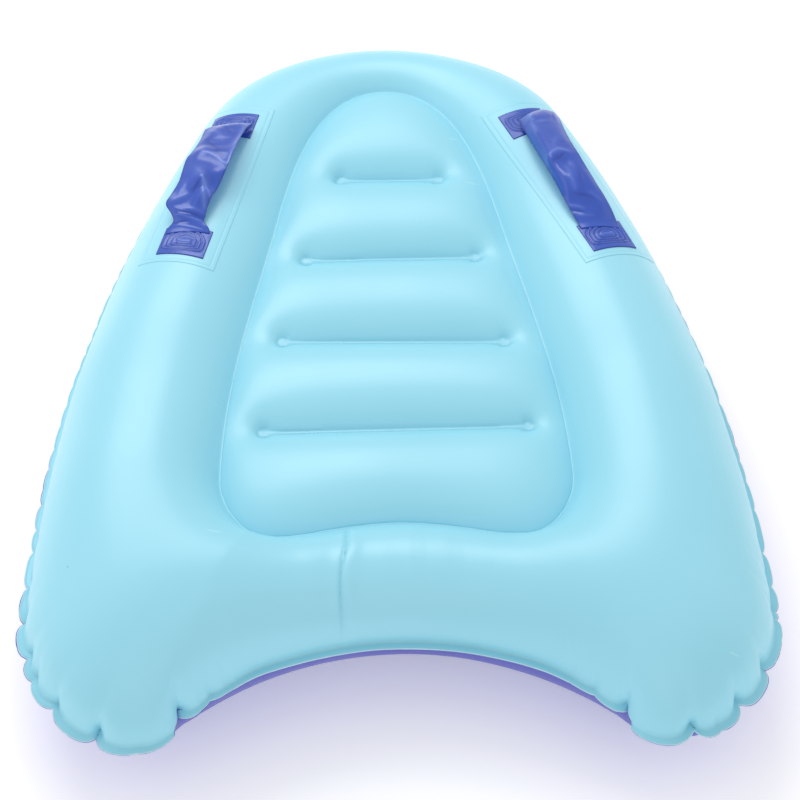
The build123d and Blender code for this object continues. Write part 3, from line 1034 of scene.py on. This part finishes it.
def patch_steps(low, high):
    """Places across a patch, closer at its edge and at its weld line."""
    fine = np.array([0, 0.35, 0.9, 2.2, 3.2, 3.8, 4.2, 4.6, 5.2, 6.2]) * MM
    count = round((high - low - 2 * fine[-1]) / (3 * MM))
    middle = np.linspace(low + fine[-1], high - fine[-1], count + 1)[1:-1]
    return np.r_[low + fine, middle, (high - fine)[::-1]]


for side, handle in handles.items():
    alongs = patch_steps(PATCH_FRONT, handle.length + PATCH_REAR)
    asides = patch_steps(PATCH_INNER, PATCH_OUTER)
    patch = laid_sheet(f"{side}_patch_vinyl", handle, alongs, asides, PATCH_SHEET, patch_profile(handle))
    inset = np.minimum(
        np.minimum(alongs - alongs[0], alongs[-1] - alongs)[:, None],
        np.minimum(asides - asides[0], asides[-1] - asides)[None, :],
    )
    # painted shade: the "line" number darkens the patch along its weld line and at its outer edge, where the
    # steps in the sheet are shaded
    add_value(patch, "line", bell(inset - WELD_LINE, 0.4 * MM) * 0.6 + bell(inset, 0.45 * MM) * 0.9)
    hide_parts(f"{side}_handle_patch")

# %% [markdown]
# Each end pad is stamped by a heated tool with nested D-shaped ridges, its round side towards the
# strap. The ridges are half a millimetre high, which a bump map could fake, but the pads are glossy
# and seen at a low angle, so the ridges are raised in the mesh.

# %% Stamped pads
PAD_HALF_LENGTH, PAD_HALF_WIDTH = 18 * MM, 22 * MM
PAD_LIFT = 1.5 * MM
D_RINGS = (0.30, 0.52, 0.74, 0.93)
D_HALF_WIDTH, D_ROUND, D_FLAT = 19 * MM, 15 * MM, 12 * MM


def stamp(towards, aside):
    """Height of the stamped ridges. towards is the distance from the pad's middle to the strap."""
    across = abs(aside) / D_HALF_WIDTH
    if towards > 0:
        size = math.hypot(across, towards / D_ROUND)
    else:
        size = (across**6 + (-towards / D_FLAT) ** 6) ** (1 / 6)
    rise = 0.0
    for ring in D_RINGS:
        rise += 0.75 * MM * math.exp(-(((size - ring) / 0.032) ** 2))
        rise -= 0.45 * MM * math.exp(-(((size - ring - 0.075) / 0.032) ** 2))
    bar = max(abs(aside) / (6.5 * MM), abs(towards) / (1.4 * MM))
    return rise + 0.6 * MM * float(smooth(1.6 - bar))


PAD_PITCH = 0.6 * MM
for side, handle in handles.items():
    for end, place, way in (("front", 0.0, 1), ("rear", handle.length, -1)):
        alongs = place + edge_steps(-PAD_HALF_LENGTH, PAD_HALF_LENGTH, PAD_PITCH, 0.5 * MM)
        asides = edge_steps(-PAD_HALF_WIDTH, PAD_HALF_WIDTH, PAD_PITCH, 0.5 * MM)

        def profile(along, aside, place=place, way=way):
            return stamp((along - place) * way, aside)

        pad = laid_sheet(f"{side}_{end}_pad_vinyl", handle, alongs, asides, PAD_LIFT, profile)
        inset = np.minimum(
            PAD_HALF_LENGTH - np.abs(alongs - place)[:, None],
            PAD_HALF_WIDTH - np.abs(asides)[None, :],
        )
        # painted shade in the stamped grooves and along the pad's edge (the "line" number), and a painted
        # highlight on the raised ridges (the "crease" number)
        pressed = [[-profile(a, b) / (0.45 * MM) for b in asides] for a in alongs]
        add_value(pad, "line", 1.5 * np.clip(np.maximum(pressed, 1.2 - inset / (1.1 * MM)), 0, 1))
        add_value(pad, "crease", np.clip(-np.array(pressed), 0, 1) * 0.35)
        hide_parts(f"{side}_handle_{end}_anchor")
print("pads of", len(pad.data.vertices), "corners")

# %% [markdown]
# A strap is a flattened sleeve of thin vinyl. It was packed folded, so it keeps creases: the left one
# rolls forward over its front pad, has a pointed crease past its middle and is pinched before the
# rear pad, and the right one leans outward and shows its inner wall. A cloth simulation would crease
# it somewhere else on every change of size, so its shape is drawn: a few cross rows, each
# with five points from the outer edge to the inner one, and a smooth surface through them. Creases are
# then pressed in along short lines.

# %% Strap rows
# a row is the distance from the front pad's middle at the outer and the inner edge, then five pairs
# of (sideways, height) from the outer edge to the inner one, all in millimetres
STRAP_ROWS = {
    "left": [
        (27, 11, (16, 0.6), (8, 0.8), (0, 0.8), (-8, 0.8), (-17, 0.6)),
        (22, 5, (19, 3.5), (10, 4.5), (0, 4.5), (-10, 4.0), (-19, 2.5)),
        (20, 2, (20, 7.0), (10, 8.5), (0, 9.0), (-10, 8.0), (-20.5, 5.0)),
        (23, 4, (20, 10.5), (10, 12.5), (0, 13.0), (-10, 12.5), (-20.5, 8.5)),
        (32, 14, (19.5, 12.5), (10, 16.5), (0, 18.5), (-10, 17.5), (-19.5, 14.0)),
        (44, 34, (19, 14.5), (10, 19.5), (0, 20.5), (-10, 20.0), (-19, 20.0)),
        (56, 49, (19.5, 16.5), (10, 20.5), (0, 21.0), (-10, 21.5), (-19.5, 24.5)),
        (66, 65, (21, 17.5), (11, 23.5), (0, 24.5), (-10, 25.0), (-19.5, 25.0)),
        (77, 81, (23, 18.0), (12, 22.0), (1, 22.0), (-9, 22.0), (-18.5, 24.0)),
        (93, 95, (22.3, 17.5), (12, 22.5), (2, 25.0), (-7, 22.0), (-16.5, 17.5)),
        (106, 106, (22, 15.5), (12, 20.5), (0, 26.5), (-7, 18.5), (-15, 14.5)),
        (121, 118, (24.7, 12.5), (14, 15.5), (3, 17.5), (-5, 20.5), (-13.2, 15.0)),
        (131, 130, (27.5, 9.5), (15, 10.5), (5, 12.0), (-3, 14.5), (-11.5, 9.5)),
        (139, 138, (20.5, 6.5), (12, 9.0), (4, 9.5), (-4, 9.0), (-12, 7.0)),
        (145, 142, (17, 3.5), (10, 5.5), (3, 6.0), (-4, 5.5), (-11.5, 4.0)),
        (152, 148, (20.5, 1.8), (11, 2.6), (1, 2.8), (-8, 2.6), (-17.5, 2.0)),
        (159, 153, (21.5, 0.9), (11, 1.0), (0, 1.0), (-10, 1.0), (-20.5, 0.9)),
    ],
    "right": [
        (13, 15, (19, 0.6), (11, 0.8), (3, 0.8), (-5, 0.8), (-10, 0.6)),
        (4, 7, (23, 2.5), (13, 4.5), (4, 4.5), (-3, 4.0), (-10, 2.0)),
        (0, 1, (25, 5.5), (15, 9.0), (7, 9.5), (0, 8.0), (-8, 4.0)),
        (6, 4, (26, 8.5), (16, 13.0), (7, 14.0), (0, 13.0), (-9.5, 5.5)),
        (15, 13, (25, 10.5), (16, 16.0), (6, 18.0), (-3, 17.5), (-11.5, 7.0)),
        (24, 23, (23.4, 12.5), (14, 18.0), (5, 20.0), (-5, 19.0), (-13, 8.5)),
        (42, 42, (18.5, 17.5), (10, 22.0), (1, 24.0), (-10, 23.0), (-16, 12.0)),
        (62, 62, (15, 20.5), (7, 25.0), (-2, 26.8), (-13, 27.0), (-18.2, 14.5)),
        (78, 80, (13.8, 21.5), (6, 25.0), (-4, 27.5), (-16.5, 28.5), (-19.2, 15.0)),
        (90, 92, (13.2, 21.0), (5, 24.0), (-5, 24.5), (-15.8, 26.0), (-19.6, 14.5)),
        (108, 108, (13.2, 18.5), (6, 23.0), (-4, 24.0), (-14.5, 23.5), (-20.1, 12.5)),
        (122, 122, (14, 15.0), (7, 19.5), (-3, 20.0), (-15, 17.5), (-20.6, 10.0)),
        (134, 132, (15.5, 10.5), (8, 14.5), (-2, 14.5), (-13, 12.0), (-20.8, 7.5)),
        (146, 142, (17.5, 5.5), (9, 8.0), (-1, 8.0), (-11, 6.5), (-20.4, 4.0)),
        (155, 150, (17.8, 2.2), (9, 3.0), (-1, 2.6), (-10, 2.4), (-20, 1.9)),
        (163, 157, (17.5, 0.9), (9, 1.0), (-1, 1.0), (-10, 1.0), (-19.5, 0.9)),
    ],
}
# a crease runs from (distance, sideways) to (distance, sideways), then its height and its width
STRAP_CREASES = {
    "left": [
        (12, -17, 50, -18, 1.1, 2.0), (50, -18, 80, -17, 1.4, 1.8), (80, -17, 72, -4, 1.3, 1.8),
        (72, -4, 66, 12, 1.0, 2.2), (48, 10, 76, -14, -0.7, 2.5), (104, -1, 119, -11, 1.6, 1.3),
        (104, -1, 131, -9, 1.3, 1.6), (104, -1, 118, 4, -0.9, 2.2), (104, -1, 92, 8, 0.8, 2.5),
        (129, 24, 121, 8, 0.9, 2.0), (138, 16, 140, -10, -1.0, 1.3), (141, 15, 144, -9, 0.7, 1.1),
        (148, 18, 146, 2, -0.7, 1.2), (150, 14, 152, -12, 0.5, 1.0), (134, 10, 136, -8, 0.6, 1.6),
        (30, 14, 40, -4, 0.5, 2.5), (22, 6, 34, -14, -0.5, 2.0), (108, 14, 122, 18, 0.5, 2.0),
    ],
    "right": [
        (78, -16, 73, -4, 1.3, 1.5), (73, -4, 79, 5, 1.2, 1.5), (86, -14, 80, 0, -0.9, 2.0),
        (18, 23, 32, 16, 0.9, 1.3), (8, 24, 24, 18, 0.8, 1.3), (12, 20, 28, 13, -0.6, 1.3),
        (6, -1, 22, -6, 1.0, 1.2), (22, -6, 40, -9, 0.8, 1.4), (24, -3, 27, 8, 0.6, 1.3),
        (130, -20, 139, -9, 0.9, 1.0), (135, -20, 142, -11, -0.8, 1.0), (139, -20, 145, -12, 0.8, 0.9),
        (124, -12, 134, 4, -0.8, 2.2), (128, 0, 137, 9, 0.7, 2.0), (96, -6, 124, -10, 0.7, 2.4),
        (100, 4, 122, -2, -0.5, 3.0), (143, -16, 148, -4, 0.5, 1.0), (56, 2, 70, -8, 0.4, 2.5),
    ],
}
print({side: len(rows) for side, rows in STRAP_ROWS.items()}, "cross rows")

# %% Build the straps
STRAP_ALONG, STRAP_ACROSS = 150, 36


def through(rows, count):
    """Smooth curve through rows of points, with a Catmull-Rom span between each pair."""
    rows = np.asarray(rows, float)
    ends = np.concatenate([[2 * rows[0] - rows[1]], rows, [2 * rows[-1] - rows[-2]]])
    t = np.linspace(0, len(rows) - 1, count)
    k = np.minimum(t.astype(int), len(rows) - 2)
    shape = (-1,) + (1,) * (rows.ndim - 1)
    f = (t - k).reshape(shape)
    a, b, c, d = (ends[k + n] for n in range(4))
    return 0.5 * (2 * b + (c - a) * f + (2 * a - 5 * b + 4 * c - d) * f**2 + (3 * b - a - 3 * c + d) * f**3)


def crease(points, line):
    """Height of a pressed crease at places (distance, sideways)."""
    a, b = np.array(line[:2], float), np.array(line[2:4], float)
    t = np.clip(((points - a) @ (b - a)) / ((b - a) @ (b - a)), 0, 1)
    away = np.linalg.norm(points - a - t[..., None] * (b - a), axis=-1)
    fade = 0.35 + 0.65 * np.sin(np.pi * np.clip(t, 0.02, 0.98)) ** 0.5
    return line[4] * fade * np.exp(-away / line[5])


def strap_sheet(side):
    """Grid of the sleeve's upper layer, in (distance, sideways, height), with the share of painted highlight
    on its raised creases and the share of painted shade in its pressed valleys.
    """
    rows = []
    for outer, inner, *points in STRAP_ROWS[side]:
        distances = np.linspace(outer, inner, len(points))
        rows.append([(d, aside, up) for d, (aside, up) in zip(distances, points)])
    along = through(rows, STRAP_ALONG)
    grid = through(along.transpose(1, 0, 2), STRAP_ACROSS).transpose(1, 0, 2)
    pressed = sum(crease(grid[..., :2], line) for line in STRAP_CREASES[side])
    grid[..., 2] += pressed
    rng = np.random.default_rng(31 if side == "left" else 32)
    for _ in range(26):
        centre = np.array([rng.uniform(10, 150), rng.uniform(-18, 18)])
        turn, size = rng.uniform(0, math.pi), rng.uniform(-0.35, 0.35)
        way = np.array([math.cos(turn), math.sin(turn)])
        d = grid[..., :2] - centre
        grid[..., 2] += size * np.exp(-((d @ way) / 9) ** 2 - ((d @ np.array([-way[1], way[0]])) / 3.2) ** 2)
    return grid * MM, np.clip(pressed, 0, 1), np.clip(-pressed, 0, 1) * 1.6


def build_strap(side):
    handle = handles[side]
    grid, pressed, painted_valley_shade = strap_sheet(side)
    upper = np.empty_like(grid)
    for i in range(STRAP_ALONG):
        for k in range(STRAP_ACROSS):
            along, aside, rise = grid[i, k]
            base = on_ring(*handle.plan_place(along, aside))[0]
            line = handle.front + handle.way * along + handle.out * aside
            loose = float(smooth(rise / (13 * MM)))
            z = base.z + (line.z - base.z) * loose + PAD_LIFT + rise * (1 - 0.06 * loose)
            upper[i, k] = (base.x, base.y, z)
    normal = grid_normals(upper, closed=False)
    normal *= np.sign(normal[STRAP_ALONG // 2, STRAP_ACROSS // 2, 2])
    u = np.linspace(-1, 1, STRAP_ACROSS)
    v = np.linspace(0, 1, STRAP_ALONG)
    gap = 0.5 * MM + 1.8 * MM * np.sin(np.pi * np.clip(v, 0, 1))[:, None] ** 0.6 * (1 - u**2)[None, :] ** 0.5
    lower = upper - normal * gap[..., None]
    loop = np.concatenate([upper, lower[:, ::-1]], 1)
    rim = loop.shape[1]
    faces = []
    for i in range(STRAP_ALONG - 1):
        for k in range(rim):
            n = (k + 1) % rim
            faces.append((i * rim + k, i * rim + n, (i + 1) * rim + n, (i + 1) * rim + k))
    faces.append(tuple(range(rim))[::-1])
    faces.append(tuple((STRAP_ALONG - 1) * rim + k for k in range(rim)))
    obj = new_object(f"{side}_strap_vinyl", loop.reshape(-1, 3), faces)
    mesh = bmesh.new()
    mesh.from_mesh(obj.data)
    bmesh.ops.recalc_face_normals(mesh, faces=mesh.faces)
    mesh.to_mesh(obj.data)
    mesh.free()
    # painted highlight on the raised creases (the "crease" number), and painted shade in the pressed valleys
    # and along both edges of the strap (the "line" number)
    add_value(obj, "crease", np.concatenate([pressed, pressed[:, ::-1] * 0], 1) * 0.7)
    rim_shade = 1.5 * np.clip((np.abs(u) - 0.90) / 0.08, 0, 1) * np.ones((STRAP_ALONG, 1))
    add_value(obj, "line", np.concatenate([np.maximum(rim_shade, painted_valley_shade), rim_shade * 0], 1))
    soften = obj.modifiers.new("rounded_folds", "SUBSURF")
    soften.levels = soften.render_levels = 1
    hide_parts(f"{side}_handle_strap")
    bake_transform(obj)
    return obj


straps = {side: build_strap(side) for side in handles}
print("straps of", len(straps["left"].data.vertices), "corners")

# %% [markdown]
# ## Finishes
# Every sheet is calendered vinyl: a plain colour with a faint satin grain, small scuffs from being
# folded in its box, and a little dust. These effects are shared, so each is a node group with named
# inputs that every material sets in its own way. What belongs to one place, such as the painted shade
# of a weld or a crease or the painted highlight of a ridge, was stored on the mesh as a number per
# corner and is read back by name.

# %% Helpers for node trees
NODE_STEP = 190


def add_node(tree, kind, sockets=(), **facts):
    """Adds a node. sockets maps an input's name or number to a value or to another node's output."""
    made = tree.nodes.new(kind)
    made.location.x = NODE_STEP * len(tree.nodes)
    for name, value in facts.items():
        setattr(made, name, value)
    for name, value in dict(sockets).items():
        if isinstance(value, bpy.types.NodeSocket):
            tree.links.new(value, made.inputs[name])
        else:
            made.inputs[name].default_value = value
    return made


def math_of(tree, operation, *values):
    return add_node(tree, "ShaderNodeMath", dict(enumerate(values)), operation=operation).outputs[0]


def ramp_of(tree, value, low, high, start=0.0, end=1.0):
    """start below low, end above high, and a smooth step between."""
    facts = {"Value": value, "From Min": low, "From Max": high, "To Min": start, "To Max": end}
    return add_node(tree, "ShaderNodeMapRange", facts, interpolation_type="SMOOTHSTEP").outputs[0]


def mix_of(tree, share, first, second):
    mixed = add_node(tree, "ShaderNodeMix", data_type="RGBA")
    for number, value in ((0, share), (6, first), (7, second)):
        if isinstance(value, bpy.types.NodeSocket):
            tree.links.new(value, mixed.inputs[number])
        else:
            mixed.inputs[number].default_value = value
    return mixed.outputs[2]


def stored(tree, name):
    return add_node(tree, "ShaderNodeAttribute", attribute_name=name).outputs["Fac"]


def new_group(name, inputs, outputs):
    """Empty node group with number inputs {name: default} and number outputs [names]."""
    group = bpy.data.node_groups.new(name, "ShaderNodeTree")
    for title, default in inputs.items():
        socket = group.interface.new_socket(title, in_out="INPUT", socket_type="NodeSocketFloat")
        socket.default_value = default
    for title in outputs:
        group.interface.new_socket(title, in_out="OUTPUT", socket_type="NodeSocketFloat")
    return group, group.nodes.new("NodeGroupInput").outputs, group.nodes.new("NodeGroupOutput").inputs


def use_group(tree, group, **values):
    made = add_node(tree, "ShaderNodeGroup", node_tree=group)
    for name, value in values.items():
        made.inputs[name.replace("_", " ").capitalize()].default_value = value
    return made.outputs


# %% Satin grain
def make_grain():
    """Height of the fine embossing, and a slow change of tone across the sheet."""
    group, given, out = new_group("satin_grain", {"Grain per metre": 900.0, "Tone per metre": 7.0},
                                  ["Height", "Tone"])
    place = add_node(group, "ShaderNodeTexCoord").outputs["Object"]
    fine = add_node(group, "ShaderNodeTexNoise",
                    {"Vector": place, "Scale": given["Grain per metre"], "Detail": 3.0})
    slow = add_node(group, "ShaderNodeTexNoise",
                    {"Vector": place, "Scale": given["Tone per metre"], "Detail": 2.0})
    group.links.new(fine.outputs["Fac"], out["Height"])
    group.links.new(ramp_of(group, slow.outputs["Fac"], 0.35, 0.65), out["Tone"])
    return group


grain = make_grain()
print("group", grain.name)


# %% Specks of dust
def make_specks():
    """Mask of small round specks, with only a few of the cells holding one."""
    group, given, out = new_group("dust_specks", {"Cells per metre": 45.0, "Size": 0.03, "Share": 0.05},
                                  ["Mask"])
    place = add_node(group, "ShaderNodeTexCoord").outputs["Object"]
    cells = add_node(group, "ShaderNodeTexVoronoi", {"Vector": place, "Scale": given["Cells per metre"]})
    kept = add_node(group, "ShaderNodeSeparateColor", {"Color": cells.outputs["Color"]})
    chosen = math_of(group, "LESS_THAN", kept.outputs[0], given["Share"])
    reach = math_of(group, "MULTIPLY", kept.outputs[1], given["Size"])
    near = math_of(group, "LESS_THAN", cells.outputs["Distance"], reach)
    group.links.new(math_of(group, "MULTIPLY", near, chosen), out["Mask"])
    return group


specks = make_specks()
print("group", specks.name)


# %% Scuffs
def make_scuffs():
    """Mask of short thin marks that lie across the board, as folding leaves them."""
    group, given, out = new_group("fold_scuffs", {"Marks per metre": 22.0, "Share": 0.1}, ["Mask"])
    place = add_node(group, "ShaderNodeTexCoord").outputs["Object"]
    bent = add_node(group, "ShaderNodeTexNoise", {"Vector": place, "Scale": 30.0})
    moved = add_node(group, "ShaderNodeVectorMath", {0: bent.outputs["Color"], 1: (0.03, 0.012, 0.0)},
                     operation="MULTIPLY").outputs[0]
    place = add_node(group, "ShaderNodeVectorMath", {0: place, 1: moved}, operation="ADD").outputs[0]
    drawn = add_node(group, "ShaderNodeMapping",
                     {"Vector": place, "Rotation": (0, 0, 0.12), "Scale": (1.0, 7.0, 1.0)}).outputs[0]
    cells = add_node(group, "ShaderNodeTexVoronoi", {"Vector": drawn, "Scale": given["Marks per metre"]})
    kept = add_node(group, "ShaderNodeSeparateColor", {"Color": cells.outputs["Color"]})
    chosen = math_of(group, "LESS_THAN", kept.outputs[0], given["Share"])
    mark = ramp_of(group, cells.outputs["Distance"], 0.05, 0.16, 1.0, 0.0)
    group.links.new(math_of(group, "MULTIPLY", mark, chosen), out["Mask"])
    return group


scuffs = make_scuffs()
print("group", scuffs.name)

# %% [markdown]
# ## Vinyl
# One function makes the three vinyls, because they are the same sheet in three colours. Over the base
# tone it lays, in order, the pressed flat band outside the seam, painted shade on the weld rows, painted
# shade along folds, grooves and the edges of patches, pads and straps, with one grain of dirt in the box
# fold, painted highlights on raised ridges and on the weld bead, scuffs and dust. The gloss is a satin:
# a low roughness would turn the lamps into hard windows, which this sheet blurs into wide soft bands.

# %% Vinyl materials
def colour(red, green, blue):
    return (red, green, blue, 1.0)


# deep is the darker colour that the tone, the flange, the welds and the painted shade mix towards; mark is
# the lighter colour of both the painted highlights and the scuffs
def vinyl(name, base, deep, edge, mark, roughness, grain_height, speck_colour, coat):
    made = bpy.data.materials.new(name)
    made.use_nodes = True
    tree = made.node_tree
    shader = tree.nodes["Principled BSDF"]
    tones = use_group(tree, grain, grain_per_metre=1100.0, tone_per_metre=6.0)
    dust = use_group(tree, specks, cells_per_metre=60.0, size=0.055, share=0.035)["Mask"]
    rubbed = use_group(tree, scuffs, marks_per_metre=16.0, share=0.045)["Mask"]
    tone = mix_of(tree, math_of(tree, "MULTIPLY", tones["Tone"], 0.10), base, deep)
    from_seam = stored(tree, "from_seam")
    pressed = ramp_of(tree, from_seam, -0.9, -0.2, 1.0, 0.0)
    tone = mix_of(tree, math_of(tree, "MULTIPLY", pressed, 0.32), tone, deep)
    rim = ramp_of(tree, from_seam, -6.7, -6.0, 1.0, 0.0)
    tone = mix_of(tree, rim, tone, edge)
    weld, line, painted_ridge_highlight = stored(tree, "weld"), stored(tree, "line"), stored(tree, "crease")
    # painted shade on the weld rows
    tone = mix_of(tree, math_of(tree, "MULTIPLY", weld, 0.60), tone, deep)
    # painted shade from the "line" number: folds, grooves and sheet edges, with one grain of dirt
    tone = mix_of(tree, math_of(tree, "MULTIPLY", line, 0.42), tone, deep)
    # painted highlight on raised ridges and on the weld bead
    tone = mix_of(tree, math_of(tree, "MULTIPLY", painted_ridge_highlight, 0.60), tone, mark)
    tone = mix_of(tree, math_of(tree, "MULTIPLY", rubbed, 0.30), tone, mark)
    tone = mix_of(tree, math_of(tree, "MULTIPLY", dust, 0.65), tone, speck_colour)
    tree.links.new(tone, shader.inputs["Base Color"])
    shine = ramp_of(tree, tones["Tone"], 0.0, 1.0, roughness - 0.03, roughness + 0.04)
    shine = math_of(tree, "ADD", shine, math_of(tree, "MULTIPLY", rubbed, 0.12))
    shine = math_of(tree, "SUBTRACT", shine, math_of(tree, "MULTIPLY", weld, 0.10))
    tree.links.new(shine, shader.inputs["Roughness"])
    shader.inputs["Coat Weight"].default_value = coat
    shader.inputs["Coat Roughness"].default_value = 0.3
    relief = math_of(tree, "ADD", tones["Height"], math_of(tree, "MULTIPLY", rubbed, 1.5))
    bump = add_node(tree, "ShaderNodeBump", {"Height": relief, "Strength": 0.25, "Distance": grain_height})
    tree.links.new(bump.outputs[0], shader.inputs["Normal"])
    return made


VINYLS = {
    "light_vinyl": vinyl("aqua_vinyl", colour(0.335, 0.740, 0.885), colour(0.19, 0.57, 0.73),
                         colour(0.60, 0.90, 0.97), colour(0.62, 0.92, 0.97), 0.36, 0.00008,
                         colour(0.06, 0.20, 0.26), 0.12),
    "dark_vinyl": vinyl("indigo_vinyl", colour(0.085, 0.095, 0.50), colour(0.045, 0.05, 0.34),
                        colour(0.16, 0.17, 0.62), colour(0.20, 0.22, 0.66), 0.38, 0.00008,
                        colour(0.55, 0.60, 0.75), 0.10),
    "handle_vinyl": vinyl("strap_vinyl", colour(0.030, 0.090, 0.49), colour(0.006, 0.022, 0.22),
                          colour(0.12, 0.16, 0.6), colour(0.22, 0.34, 0.82), 0.24, 0.00006,
                          colour(0.5, 0.55, 0.75), 0.20),
    "inner_vinyl": vinyl("unprinted_vinyl", colour(0.62, 0.74, 0.78), colour(0.46, 0.62, 0.68),
                         colour(0.8, 0.88, 0.9), colour(0.82, 0.9, 0.92), 0.5, 0.0001,
                         colour(0.2, 0.25, 0.3), 0.0),
}
print("vinyls", [m.name for m in VINYLS.values()])

# %% [markdown]
# The valves are moulded, not cut from sheet. Soft clear PVC looks milky where it is thick, so the
# finish is a pale plastic that lets a little light through, with the fine flow lines of its mould.

# %% Valve plastic and floor
def valve_plastic():
    made = bpy.data.materials.new("milky_valve_plastic")
    made.use_nodes = True
    tree = made.node_tree
    shader = tree.nodes["Principled BSDF"]
    tones = use_group(tree, grain, grain_per_metre=500.0, tone_per_metre=90.0)
    dust = use_group(tree, specks, cells_per_metre=240.0, size=0.06, share=0.05)["Mask"]
    tone = mix_of(tree, tones["Tone"], colour(0.62, 0.82, 0.88), colour(0.76, 0.90, 0.93))
    tone = mix_of(tree, math_of(tree, "MULTIPLY", dust, 0.6), tone, colour(0.25, 0.3, 0.33))
    tree.links.new(tone, shader.inputs["Base Color"])
    tree.links.new(ramp_of(tree, tones["Tone"], 0.0, 1.0, 0.26, 0.36), shader.inputs["Roughness"])
    shader.inputs["Transmission Weight"].default_value = 0.25
    shader.inputs["IOR"].default_value = 1.52
    bump = add_node(tree, "ShaderNodeBump", {"Height": tones["Height"], "Strength": 0.2, "Distance": 0.0001})
    tree.links.new(bump.outputs[0], shader.inputs["Normal"])
    return made


def floor_paper():
    made = bpy.data.materials.new("studio_paper")
    made.use_nodes = True
    tree = made.node_tree
    shader = tree.nodes["Principled BSDF"]
    tones = use_group(tree, grain, grain_per_metre=350.0, tone_per_metre=1.5)
    tone = mix_of(tree, tones["Tone"], colour(0.955, 0.957, 0.965), colour(0.97, 0.972, 0.978))
    tree.links.new(tone, shader.inputs["Base Color"])
    shader.inputs["Roughness"].default_value = 0.85
    shader.inputs["Specular IOR Level"].default_value = 0.2
    shader.inputs["Emission Color"].default_value = colour(1.0, 1.0, 0.99)
    shader.inputs["Emission Strength"].default_value = 0.24
    return made


VINYLS["valve_plastic"] = valve_plastic()
floor.data.materials.append(floor_paper())
print("finishes for", sorted(VINYLS))

# %% [markdown]
# Each new piece takes the finish of the material slot that it was given, and every rigid part that
# still shows takes the finish of its own slot in the record.

# %% Give every piece its finish
HANDLE_PIECES = ("front_pad", "rear_pad", "strap")
FINISH = {
    "light_vinyl": ["ring_top_vinyl", "deck_vinyl", "deck_weld_bead",
                    "left_patch_vinyl", "right_patch_vinyl"],
    "dark_vinyl": ["ring_bottom_vinyl", "hull_vinyl", "hull_weld_bead"],
    "handle_vinyl": [f"{side}_{part}_vinyl" for side in handles for part in HANDLE_PIECES],
}
for slot_name, names in FINISH.items():
    for name in names:
        bpy.data.objects[name].data.materials.append(VINYLS[slot_name])
for entry in frame["record"]["subparts"]:
    part = frame["nodes"][entry["node"]]
    for place in part.material_slots:
        place.link = "OBJECT"
        place.material = VINYLS[entry["material_slot"]]
made = sum(len(names) for names in FINISH.values())
print("finished", made, "pieces and", len(frame["nodes"]), "rigid parts")
